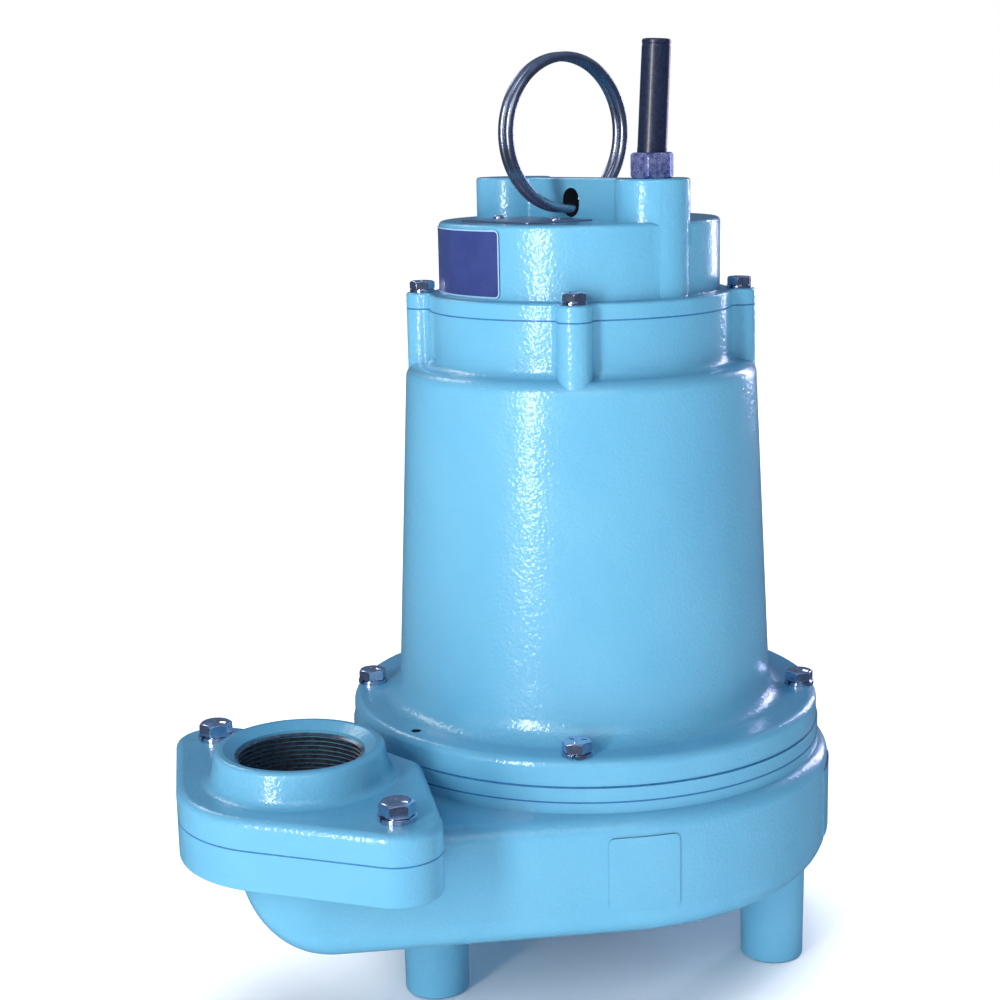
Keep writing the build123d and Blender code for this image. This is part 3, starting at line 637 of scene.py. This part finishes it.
@dataclass
class CapCasting:
    """The motor cap: the CAD node's shape with the soft edges that the sand gave its ridge and flange."""

    finishes: Finishes
    edge: float = 1.4
    height_reach: float = 0.05
    bore_reach: float = 6.5
    ear_reach: float = 5.0
    slot_reach: float = 7.4
    slot_rise: float = 1.5

    def build(self) -> None:
        """Copy the node, weigh the edges to be rounded, and bevel them."""
        piece = node_copy("motor_cap", "motor_cap_cast")
        self.weigh(piece)
        piece.modify("BEVEL", {
            "width": self.edge * MM, "segments": 4, "limit_method": "WEIGHT", "use_clamp_overlap": False})
        piece.shade(32.0)
        piece.dress(self.finishes.enamel)
        # Painted shade: the ring's hole through the ridge is painted near-black.
        self.paint_slot_shade(piece)
        piece.settle(Slot.ENAMEL, Body.PUMP, ["motor_cap"])

    def paint_slot_shade(self, piece: Workpiece) -> None:
        """Give the faces of the ring's hole through the ridge a near-black painted shade, for the shadow inside
        the hole.
        """
        joint = frame["joints"][0]
        along = Vector(joint["axis"]).normalized()
        piece.obj.data.materials.append(self.finishes.bore_shadow)
        for face in piece.obj.data.polygons:
            inwards = Vector(joint["pos_m"]) + UP * (self.slot_rise * MM) - face.center
            inwards -= along * inwards.dot(along)
            near = 0.0 < inwards.length < self.slot_reach * MM
            if near and abs(face.normal.dot(along)) < 0.3 and face.normal.dot(inwards) > 0.0:
                face.material_index = 1

    def weigh(self, piece: Workpiece) -> None:
        """Mark the outlines of the ridge's top and of the flange's top, and leave every hole sharp."""
        mesh = piece.obj.data
        ridge_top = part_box("motor_cap")[1].z
        flange_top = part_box("cap_washer_front")[0].z
        gland = middle_of("gland_nut")
        ears = [middle_of(f"cap_bolt_{side}") for side in ("right", "back", "left", "front")]
        weights = mesh.attributes.new("bevel_weight_edge", "FLOAT", "EDGE")
        sides: dict[tuple[int, int], list[float]] = {}
        for face in mesh.polygons:
            for key in face.edge_keys:
                sides.setdefault(key, []).append(face.normal.z)
        for edge in mesh.edges:
            middle = (mesh.vertices[edge.vertices[0]].co + mesh.vertices[edge.vertices[1]].co) / 2
            rises = sorted(sides.get(tuple(sorted(edge.vertices)), []))
            corner = len(rises) == 2 and rises[1] > 0.9 and abs(rises[0]) < 0.3
            on_ridge = abs(middle.z - ridge_top) < self.height_reach * MM
            on_flange = abs(middle.z - flange_top) < self.height_reach * MM
            clear_bore = flat_distance(middle, gland) > self.bore_reach * MM
            clear_ears = min(flat_distance(middle, ear) for ear in ears) > self.ear_reach * MM
            if corner and ((on_ridge and clear_bore) or (on_flange and clear_ears)):
                weights.data[edge.index].value = 1.0


@dataclass
class Castings:
    """The pump's enamelled castings. Those whose CAD shape needs nothing keep their nodes."""

    finishes: Finishes
    plain: Sequence[str] = ("discharge_flange", "seal_plate", "motor_housing")

    def build(self) -> None:
        """Dress every casting."""
        VoluteCasting(self.finishes).build()
        CapCasting(self.finishes).build()
        for node in self.plain:
            for place in frame["nodes"][node].material_slots:
                place.material = self.finishes.enamel


@dataclass
class WeepHole:
    """Wall of the weep hole in the motor's base flange, closed below, in a near-black painted shade for the hole's
    dark inside.
    """

    finishes: Finishes
    angle: float = 225.0
    radius: float = 2.46
    wall: float = 0.25
    depth: float = 9.0
    top_gap: float = 0.15

    def build(self) -> None:
        """Turn a thin cup and sink it in the hole."""
        cup = turned("weep_hole_painted_shade", [
            (self.radius, -self.depth), (self.radius, -self.top_gap),
            (self.radius - self.wall, -self.top_gap), (self.radius - self.wall, -self.depth + 1.0),
        ], sides=24)
        axis = shaft_axis()
        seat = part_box("base_washer_front")[0].z
        reach = flat_distance(middle_of("base_bolt_front"), axis)
        turn = math.radians(self.angle)
        place = axis + Vector((reach * math.cos(turn), reach * math.sin(turn), seat))
        cup.turn_mesh(Matrix.Translation(place))
        cup.shade(35.0, weighted=False)
        # Painted shade: the cup's near-black stands for the shadow down the hole.
        cup.dress(self.finishes.bore_shadow)
        cup.settle(Slot.IRON, Body.PUMP)


def middle_of(node: str) -> Vector:
    """Return the middle of a CAD node's box."""
    low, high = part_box(node)
    return (low + high) / 2


def flat_distance(one: Vector, other: Vector) -> float:
    """Return the distance of two points in plan."""
    return math.hypot(one.x - other.x, one.y - other.y)


def port(name: str) -> Settings:
    """Return one of the record's mounts by its name."""
    return next(mount for mount in frame["record"]["mounts"] if mount["name"] == name)


def shaft_axis() -> Vector:
    """Return where the motor shaft's axis meets the floor."""
    low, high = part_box("motor_shaft")
    return Vector(((low.x + high.x) / 2, (low.y + high.y) / 2, 0.0))


# ---- Fasteners ----------------------------------------------------------------------------------


@dataclass
class HexBolt:
    """Hex bolt with a chamfered head, a washer face, a rolled thread and three radial grade marks."""

    name: str
    radius: float
    flats: float
    head: float
    length: float
    pitch: float
    top_share: float = 0.93
    face_share: float = 0.93
    face_height: float = 0.35
    chamfer_degrees: float = 30.0
    dish: float = 0.12
    mark_width: float = 0.75
    mark_rise: float = 0.18
    edge: float = 0.14
    threaded: float = 12.0

    def stations(self) -> list[Station]:
        """Return the profile: shank with its thread, washer face and head, seated at height zero."""
        corner = self.flats / math.sqrt(3.0) + 0.4
        top = self.flats / 2 * self.top_share
        drop = (corner - top) * math.tan(math.radians(self.chamfer_degrees))
        root = self.radius - 0.6 * self.pitch
        points: list[Station] = [(root * 0.9, -self.length), (root, -self.length + 0.3)]
        height = -self.length + 0.3
        for _ in range(int(self.threaded / self.pitch)):
            points.append((self.radius, height + self.pitch / 2))
            points.append((root, height + self.pitch))
            height += self.pitch
        points += [
            (self.radius, height + self.pitch / 2),
            (self.radius, 0.0),
            (self.flats / 2 * self.face_share, 0.0),
            (self.flats / 2 * self.face_share, self.face_height),
            (corner, self.face_height),
            (corner, self.head - drop),
            (top, self.head),
            (top * 0.86, self.head),
            (top * 0.8, self.head - self.dish),
        ]
        return points

    def build(self) -> Workpiece:
        """Return the bolt, standing on the origin."""
        bolt = turned(self.name, self.stations(), sides=36)
        cut_hexagon(bolt, self.flats)
        bolt.soften(self.edge, 2, 28.0)
        marks = []
        reach = self.flats / 2 * self.top_share * 0.8
        for index in range(3):
            marks.append(self.grade_mark(reach, 90.0 + 120.0 * index))
        bolt.absorb(marks)
        bolt.shade(30.0)
        return bolt

    def grade_mark(self, reach: float, turn: float) -> Workpiece:
        """Return one raised bar on the head, from near its middle outwards.

        Args:
            reach: Outer end of the bar, from the axis.
            turn: Direction of the bar in degrees.
        """
        deselect_all()
        inner = reach * 0.42
        bpy.ops.mesh.primitive_cube_add(size=1.0, location=(0.0, 0.0, 0.0))
        mark = Workpiece(bpy.context.object)
        mark.edit()
        height = self.mark_rise + self.dish
        bpy.ops.transform.resize(value=((reach - inner) * MM, self.mark_width * MM, 2 * height * MM))
        bpy.ops.mesh.bevel(offset=self.mark_rise * 0.6 * MM, segments=2, affect="EDGES")
        mark.close()
        middle = Matrix.Translation(((reach + inner) / 2 * MM, 0.0, (self.head - self.dish) * MM))
        mark.turn_mesh(Matrix.Rotation(math.radians(turn), 4, "Z") @ middle)
        return mark


@dataclass
class LockWasher:
    """Split lock washer: a square section spun almost all the way round, with its cut ends a little apart."""

    name: str
    outer: float
    inner: float
    thickness: float
    gap_degrees: float = 11.0
    step: float = 0.25
    turn: float = 205.0

    def build(self) -> Workpiece:
        """Return the washer, standing on the origin."""
        deselect_all()
        middle = (self.outer + self.inner) / 2
        bpy.ops.mesh.primitive_plane_add(
            size=1.0, location=(middle * MM, 0.0, self.thickness / 2 * MM),
            rotation=(math.radians(90.0), 0.0, 0.0))
        bpy.ops.object.transform_apply(location=True, rotation=True, scale=True)
        ring = Workpiece(bpy.context.object)
        ring.obj.name = ring.obj.data.name = self.name
        ring.edit()
        bpy.ops.transform.resize(
            value=((self.outer - self.inner) * MM, 1.0, self.thickness * MM),
            center_override=(middle * MM, 0.0, self.thickness / 2 * MM))
        bpy.ops.mesh.bevel(offset=0.22 * MM, segments=2, affect="VERTICES")
        bpy.ops.mesh.select_all(action="SELECT")
        bpy.ops.mesh.spin(
            steps=48, angle=math.radians(360.0 - self.gap_degrees), center=(0.0, 0.0, 0.0),
            axis=(0.0, 0.0, 1.0))
        ring.close()
        ring.merge(0.001)
        span = math.radians(360.0 - self.gap_degrees)
        for vertex in ring.obj.data.vertices:
            angle = math.atan2(vertex.co.y, vertex.co.x) % (2 * math.pi)
            share = min(angle, span) / span
            vertex.co.z += self.step * MM * (abs(2 * share - 1) ** 6) * (0.5 if share > 0.5 else -0.5)
        ring.face_outwards()
        ring.turn_mesh(Matrix.Rotation(math.radians(self.turn), 4, "Z"))
        ring.shade(35.0)
        return ring


@dataclass
class BoltSet:
    """All the bolts of one joint, with their lock washers."""

    prefix: str
    places: Sequence[str]
    flats: float
    radius: float
    pitch: float
    turns: Sequence[float]
    finishes: Finishes

    def build(self) -> None:
        """Model one bolt and one washer, and place a copy of each on every node."""
        first = f"{self.prefix}_washer_{self.places[0]}"
        low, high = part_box(first)
        bolt_low, bolt_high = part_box(f"{self.prefix}_bolt_{self.places[0]}")
        thickness = (high.z - low.z) / MM
        head = (bolt_high.z - high.z) / MM
        bolt = HexBolt(
            "bolt_pattern", self.radius, self.flats, head, (high.z - bolt_low.z) / MM, self.pitch).build()
        washer = LockWasher(
            "washer_pattern", (high.x - low.x) / 2 / MM, self.radius + 0.25, thickness).build()
        bolt.dress(self.finishes.zinc)
        washer.dress(self.finishes.zinc)
        for place, turn in zip(self.places, self.turns):
            node = f"{self.prefix}_washer_{place}"
            low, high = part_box(node)
            spot = Vector(((low.x + high.x) / 2, (low.y + high.y) / 2, low.z))
            spin = Matrix.Rotation(math.radians(turn), 4, "Z")
            ring = washer.copy(f"{self.prefix}_lock_washer_{place}")
            ring.turn_mesh(Matrix.Translation(spot) @ spin)
            ring.settle(Slot.ZINC, Body.PUMP, [node])
            screw = bolt.copy(f"{self.prefix}_hex_bolt_{place}")
            screw.turn_mesh(Matrix.Translation(spot + UP * thickness * MM) @ spin)
            screw.settle(Slot.ZINC, Body.PUMP, [f"{self.prefix}_bolt_{place}"])
        bolt.discard()
        washer.discard()


# ---- Discharge thread ---------------------------------------------------------------------------


@dataclass
class DischargeThread:
    """Pipe thread cut in the discharge hub: one helical ridge from the mouth's chamfer to the gasket."""

    finishes: Finishes
    pitch: float = 2.209
    crest_depth: float = 1.5
    chamfer: float = 3.2
    wall_overlap: float = 0.25
    sides: int = 64

    def build(self) -> None:
        """Sweep the ridge's triangular section round the bore with a Screw modifier."""
        mount = port("discharge_port")
        radius = mount["dims"]["r_mm"] + self.wall_overlap
        mouth = Vector(mount["pos_m"])
        low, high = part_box("discharge_flange")
        bottom = low.z
        turns = int(((high.z - bottom) / MM - self.chamfer) / self.pitch)
        crest = radius - self.wall_overlap - self.crest_depth
        deselect_all()
        bpy.ops.mesh.primitive_plane_add(size=1.0)
        ridge = Workpiece(bpy.context.object)
        ridge.obj.name = ridge.obj.data.name = "discharge_thread"
        half = self.pitch / 2
        flat = self.pitch * 0.06
        corners = ((radius, -half * 0.995), (radius, half * 0.995), (crest, flat), (crest, -flat))
        for vertex, (out, rise) in zip(self.ordered(ridge), corners):
            vertex.co = Vector((out * MM, 0.0, rise * MM))
        ridge.modify("SCREW", {
            "axis": "Z", "angle": 2 * math.pi, "screw_offset": self.pitch * MM, "iterations": turns,
            "steps": self.sides, "render_steps": self.sides, "use_merge_vertices": False})
        ridge.merge(0.0005)
        ridge.face_outwards()
        ridge.turn_mesh(Matrix.Translation(Vector((mouth.x, mouth.y, bottom + half * MM))))
        ridge.shade(25.0, weighted=False)
        ridge.dress(self.finishes.bare_iron)
        ridge.settle(Slot.IRON, Body.PUMP)

    @staticmethod
    def ordered(piece: Workpiece) -> list[bpy.types.MeshVertex]:
        """Return the vertices of a plane in the order of its outline."""
        mesh = piece.obj.data
        return [mesh.vertices[index] for index in mesh.polygons[0].vertices]


# ---- Lifting ring -------------------------------------------------------------------------------


@dataclass
class LiftingRing:
    """Split ring: two flat turns of drawn wire with one short crossing and blunt ends."""

    finishes: Finishes
    wire: float = 2.32
    crossing_degrees: float = 34.0
    end_gap_degrees: float = 5.0
    start_degrees: float = 294.0
    steps: int = 96
    sides: int = 20

    def build(self) -> None:
        """Screw the wire's section through two turns, flatten them and place the ring."""
        low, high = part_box("lifting_ring")
        joint = frame["joints"][0]
        across = Vector(joint["axis"]).normalized()
        normal = across.cross(UP)
        centre = (low + high) / 2
        mean, pitch = self.sizes(centre, normal)
        deselect_all()
        bpy.ops.mesh.primitive_circle_add(
            vertices=self.sides, radius=self.wire * MM, fill_type="NGON",
            location=(mean, 0.0, 0.0), rotation=(math.radians(90.0), 0.0, 0.0))
        bpy.ops.object.transform_apply(location=True, rotation=True, scale=True)
        ring = Workpiece(bpy.context.object)
        ring.obj.name = ring.obj.data.name = "split_lifting_ring"
        whole = 720.0 - self.end_gap_degrees
        ring.edit()
        ring.close()
        ring.modify("SCREW", {
            "axis": "Z", "angle": math.radians(whole), "screw_offset": 4 * pitch, "iterations": 1,
            "steps": 2 * self.steps, "render_steps": 2 * self.steps, "use_merge_vertices": False})
        self.flatten(ring, whole, pitch)
        ring.face_outwards()
        columns = (across, UP, normal)
        basis = Matrix([[column[row] for column in columns] for row in range(3)]).to_4x4()
        start = Matrix.Rotation(math.radians(self.start_degrees), 4, "Z")
        ring.turn_mesh(Matrix.Translation(centre) @ basis @ start)
        ring.shade(40.0, weighted=False)
        ring.dress(self.finishes.ring)
        ring.settle(Slot.RING, Body.RING, ["lifting_ring"])

    @staticmethod
    def sizes(centre: Vector, normal: Vector) -> tuple[float, float]:
        """Measure the CAD ring: radius of the wire's middle line and the distance of its two turns.

        Args:
            centre: Middle of the ring.
            normal: Direction square to the ring's plane.

        Returns:
            Mean radius and half the pitch, in metres.
        """
        reach = 0.0
        width = 0.0
        for vertex in frame["nodes"]["lifting_ring"].data.vertices:
            offset = vertex.co - centre
            along = offset.dot(normal)
            reach = max(reach, (offset - normal * along).length)
            width = max(width, abs(along))
        wire = 2.38 * MM
        return reach - wire, width - wire

    def flatten(self, ring: Workpiece, whole: float, pitch: float) -> None:
        """Lay the screw's two turns flat, with all of the rise in one short crossing.

        Args:
            ring: The screwed wire.
            whole: Length of the wire in degrees.
            pitch: Half the distance of the two turns' middle lines, in metres.
        """
        rise = 4 * pitch
        total = 2 * self.steps + 1
        mesh = ring.obj.data
        sides = len(mesh.vertices) // total
        for index, vertex in enumerate(mesh.vertices):
            step = index // sides
            share = step / (total - 1)
            turn = share * whole
            passed = min(1.0, max(0.0, (turn - 360.0 + self.crossing_degrees / 2) / self.crossing_degrees))
            smooth = passed * passed * (3 - 2 * passed)
            vertex.co.z += -rise * share + pitch * (2 * smooth - 1)


# ---- Cable gland --------------------------------------------------------------------------------


@dataclass
class CableGland:
    """Zinc compression nut on the gland's boss, and the moulded rubber sleeve that leans out of it."""

    finishes: Finishes
    flats: float = 18.8
    nut_turn: float = 20.0
    bore: float = 4.5
    sleeve_foot: float = 7.1
    sleeve_tip: float = 6.8
    lip: float = 0.9

    def build(self) -> None:
        """Model both pieces on their nodes."""
        self.build_nut()
        self.build_sleeve()

    def build_nut(self) -> None:
        """Turn the nut, cut its flats and seat it on the boss."""
        low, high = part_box("gland_nut")
        height = (high.z - low.z) / MM
        corner = self.flats / math.sqrt(3.0) + 0.4
        face = self.flats / 2 * 0.95
        drop = (corner - face) * math.tan(math.radians(30.0))
        nut = turned("gland_hex_nut", [
            (self.bore, 0.0), (face, 0.0), (corner, drop), (corner, height - drop), (face, height),
            (self.sleeve_foot + 0.9, height), (self.sleeve_foot + 0.5, height - 0.5), (self.bore, height - 0.5),
        ], sides=48, ring=True)
        cut_hexagon(nut, self.flats, self.nut_turn)
        nut.soften(0.3, 2, 28.0)
        nut.shade(30.0)
        middle = (low + high) / 2
        nut.turn_mesh(Matrix.Translation(Vector((middle.x, middle.y, low.z))))
        nut.dress(self.finishes.gland)
        nut.settle(Slot.GLAND, Body.PUMP, ["gland_nut"])

    def build_sleeve(self) -> None:
        """Turn the sleeve with a rounded lip and lean it as the cable entry says."""
        entry = port("cable_entry")
        axis = Vector(entry["axis"]).normalized()
        tip = Vector(entry["pos_m"]) + axis * (entry["dims"]["length_mm"] / 2 * MM)
        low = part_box("strain_relief")[0]
        length = (tip.z - low.z) / axis.z / MM
        sunk = 0.4
        sleeve = turned("strain_relief_sleeve", [
            (self.bore, -sunk), (self.sleeve_foot, -sunk), (self.sleeve_foot, 1.5),
            (self.sleeve_foot - 0.12, 2.4),
            (self.sleeve_tip + 0.1, length * 0.6), (self.sleeve_tip, length - 3.4),
            (self.sleeve_tip - 0.18, length - 3.0), (self.sleeve_tip - 0.18, length - 2.4),
            (self.sleeve_tip, length - 2.0), (self.sleeve_tip, length - self.lip),
            (self.sleeve_tip - self.lip * 0.3, length - self.lip * 0.3),
            (self.sleeve_tip - self.lip, length), (self.bore + 0.5, length), (self.bore, length - 0.5),
        ], sides=40, ring=True)
        sleeve.soften(0.12, 1, 32.0)
        sleeve.shade(38.0)
        lean = math.atan2(axis.x, axis.z)
        foot = tip - axis * (length * MM)
        sleeve.turn_mesh(Matrix.Translation(foot) @ Matrix.Rotation(lean, 4, "Y"))
        sleeve.dress(self.finishes.rubber)
        sleeve.settle(Slot.RUBBER, Body.PUMP, ["strain_relief"])


# ---- Plates -------------------------------------------------------------------------------------


@dataclass
class Plates:
    """The bare nameplate with its drive screws, and the bare label with a pale rim."""

    finishes: Finishes
    rim_mm: float = 0.7
    plate_edge_mm: float = 0.25

    def build(self) -> None:
        """Dress the plates on their nodes."""
        plate = node_copy("nameplate", "bare_nameplate")
        plate.soften(self.plate_edge_mm, 2, 40.0, clamp=False)
        plate.shade(35.0)
        plate.dress(self.finishes.plate)
        plate.settle(Slot.PLATE, Body.PUMP, ["nameplate"])
        self.build_label()
        for side in ("left", "right"):
            node = frame["nodes"][f"nameplate_screw_{side}"]
            node.material_slots[0].material = self.finishes.zinc

    def build_label(self) -> None:
        """Inset the label's outer face, so that its rim gets the pale print."""
        label = node_copy("side_label", "bare_side_label")
        axis = shaft_axis()

        def outer(face: bpy.types.MeshPolygon) -> bool:
            """Whether a face is on the label's outside."""
            away = Vector((face.center.x - axis.x, face.center.y - axis.y, 0.0)).normalized()
            return away.dot(face.normal) > 0.9

        label.dress(self.finishes.label)
        label.obj.data.materials.append(self.finishes.label_rim)
        label.pick_faces(outer)
        bpy.ops.mesh.inset(thickness=self.rim_mm * MM, depth=0.0)
        label.close()
        for face in label.obj.data.polygons:
            if outer(face) and not face.select:
                face.material_index = 1
        label.shade(30.0, weighted=False)
        label.settle(Slot.LABEL, Body.PUMP, ["side_label"])


# ---- Studio -------------------------------------------------------------------------------------


@dataclass(frozen=True)
class Softbox:
    """A rectangular light that looks at the pump."""

    name: str
    azimuth: float
    elevation: float
    distance: float
    width: float
    height: float
    power: float
    hex_colour: str = "FFFFFF"

    def place(self, target: Vector) -> Vector:
        """Return where the light hangs, turned from the pump's front to its right, and then up."""
        turn, rise = math.radians(self.azimuth), math.radians(self.elevation)
        level = math.cos(rise)
        return target + self.distance * Vector(
            (level * math.sin(turn), -level * math.cos(turn), math.sin(rise)))


@dataclass
class Studio:
    """Pale floor, soft light and the camera at the photograph's viewpoint."""

    target: tuple[float, float, float] = (0.02, 0.02, 0.22)
    floor_size: float = 14.0
    boxes: Sequence[Softbox] = field(default_factory=lambda: (
        Softbox("key_light", -30.0, 14.0, 2.0, 0.32, 1.4, 28.0),
        Softbox("front_fill_light", 8.0, 32.0, 2.6, 1.6, 1.6, 10.0),
        Softbox("back_strip", 143.0, 12.0, 2.2, 0.3, 1.2, 13.0, "DCD8FF"),
        Softbox("back_left_light", 228.0, 40.0, 2.6, 0.8, 0.8, 7.0),
    ))
    backdrop_strength: float = 1.0
    zenith_strength: float = 0.42
    horizon_strength: float = 0.16
    room_hex: str = "B9D6FF"
    floor_light_strength: float = 3.4
    floor_light_angle: float = 60.0
    lens: float = 64.15
    sensor: float = 36.0
    eye_from_shaft: tuple[float, float, float] = (28.97, -899.57, 422.3)
    right: tuple[float, float, float] = (0.99699, 0.07492, -0.01999)
    down: tuple[float, float, float] = (-0.0045, -0.20148, -0.97947)
    forward: tuple[float, float, float] = (-0.07742, 0.97662, -0.20053)

    def build(self) -> None:
        """Set up the camera, the floor and the lights."""
        self.build_camera()
        self.build_floor()
        self.build_light()
        self.build_room()
        bpy.context.scene.view_settings.view_transform = "Standard"

    def build_camera(self) -> None:
        """Place the camera as the photograph's was fitted, relative to the motor shaft."""
        data = bpy.data.cameras.new("photo_camera")
        data.lens = self.lens
        data.sensor_width = self.sensor
        camera = bpy.data.objects.new("photo_camera", data)
        bpy.context.scene.collection.objects.link(camera)
        eye = shaft_axis() + Vector(self.eye_from_shaft) * MM
        columns = (Vector(self.right), -Vector(self.down), -Vector(self.forward))
        turn = Matrix([[column[row] for column in columns] for row in range(3)]).to_4x4()
        camera.matrix_world = Matrix.Translation(eye) @ turn
        bpy.context.scene.camera = camera

    def build_floor(self) -> None:
        """Lay a wide pale floor that the gloss doesn't show and that lets the strips shine past it."""
        deselect_all()
        bpy.ops.mesh.primitive_plane_add(size=self.floor_size, location=(0.0, 0.0, -0.0002))
        floor = bpy.context.object
        floor.name = "studio_floor"
        material, tree, _ = new_material("pale_floor")
        shader = add_node(
            tree, "BsdfPrincipled", {"Base Color": linear("F6F7F8"), "Roughness": 0.75})
        add_node(tree, "OutputMaterial", None, {"Surface": shader.outputs["BSDF"]})
        floor.data.materials.append(material)
        floor.visible_glossy = False
        floor.visible_shadow = False

    def build_light(self) -> None:
        """Hang the softboxes, and a light that reaches only the floor."""
        for box in self.boxes:
            data = bpy.data.lights.new(box.name, "AREA")
            data.shape = "RECTANGLE"
            data.size = box.width
            data.size_y = box.height
            data.energy = box.power
            data.color = linear(box.hex_colour)[:3]
            lamp = bpy.data.objects.new(box.name, data)
            bpy.context.scene.collection.objects.link(lamp)
            target = Vector(self.target)
            lamp.location = box.place(target)
            lamp.rotation_euler = (target - lamp.location).to_track_quat("-Z", "Y").to_euler()
        data = bpy.data.lights.new("floor_light", "SUN")
        data.energy = self.floor_light_strength
        data.angle = math.radians(self.floor_light_angle)
        lamp = bpy.data.objects.new("floor_light", data)
        bpy.context.scene.collection.objects.link(lamp)
        only_floor = bpy.data.collections.new("lit_floor")
        only_floor.objects.link(bpy.data.objects["studio_floor"])
        lamp.light_linking.receiver_collection = only_floor

    def build_room(self) -> None:
        """Fill the room with cool even light, brighter from above, behind a white backdrop."""
        world = bpy.data.worlds.new("studio_room")
        world.use_nodes = True
        tree = world.node_tree
        tree.nodes.clear()
        direction = add_node(tree, "TexCoord").outputs["Generated"]
        height = add_node(tree, "SeparateXYZ", None, {"Vector": direction}).outputs["Z"]
        room = add_node(
            tree, "MapRange", {"To Min": self.horizon_strength, "To Max": self.zenith_strength},
            {"Value": height})
        path = add_node(tree, "LightPath")
        strength = add_node(
            tree, "Mix", {"data_type": "FLOAT", 3: self.backdrop_strength},
            {0: path.outputs["Is Camera Ray"], 2: room.outputs["Result"]})
        tint = add_node(
            tree, "Mix", {"data_type": "RGBA", 6: linear(self.room_hex), 7: linear("FFFFFF")},
            {0: path.outputs["Is Camera Ray"]})
        back = add_node(
            tree, "Background", None, {"Color": tint.outputs[2], "Strength": strength.outputs[0]})
        add_node(tree, "OutputWorld", None, {"Surface": back.outputs["Background"]})
        bpy.context.scene.world = world


# ---- Assembly -----------------------------------------------------------------------------------


def dress_internals(finishes: Finishes) -> None:
    """Give the CAD nodes that keep their shape their finishes."""
    choices = {
        "discharge_gasket": finishes.gasket,
        "casing_gasket": finishes.gasket,
        "motor_gasket": finishes.gasket,
        "cap_gasket": finishes.gasket,
        "motor_shaft": finishes.shaft,
        "impeller_nut": finishes.shaft,
        "impeller": finishes.iron,
    }
    for node, material in choices.items():
        for slot in frame["nodes"][node].material_slots:
            slot.material = material
        LOG.info("%s: dressed as %s", node, material.name)


def main() -> None:
    """Build the dressed pump and its studio."""
    logging.basicConfig(level=logging.INFO, format="%(name)s: %(message)s")
    Studio().build()
    finishes = Finishes()
    Castings(finishes).build()
    sides = ("right", "back", "left", "front")
    BoltSet("base", sides, 12.7, 3.97, 1.41, (12.0, 40.0, 25.0, 50.0), finishes).build()
    BoltSet("cap", sides, 11.1, 3.18, 1.27, (20.0, 5.0, 8.0, 32.0), finishes).build()
    BoltSet("discharge", ("front", "back"), 14.3, 4.76, 1.59, (14.0, 22.0), finishes).build()
    DischargeThread(finishes).build()
    WeepHole(finishes).build()
    LiftingRing(finishes).build()
    CableGland(finishes).build()
    Plates(finishes).build()
    dress_internals(finishes)


if __name__ == "__main__": main()
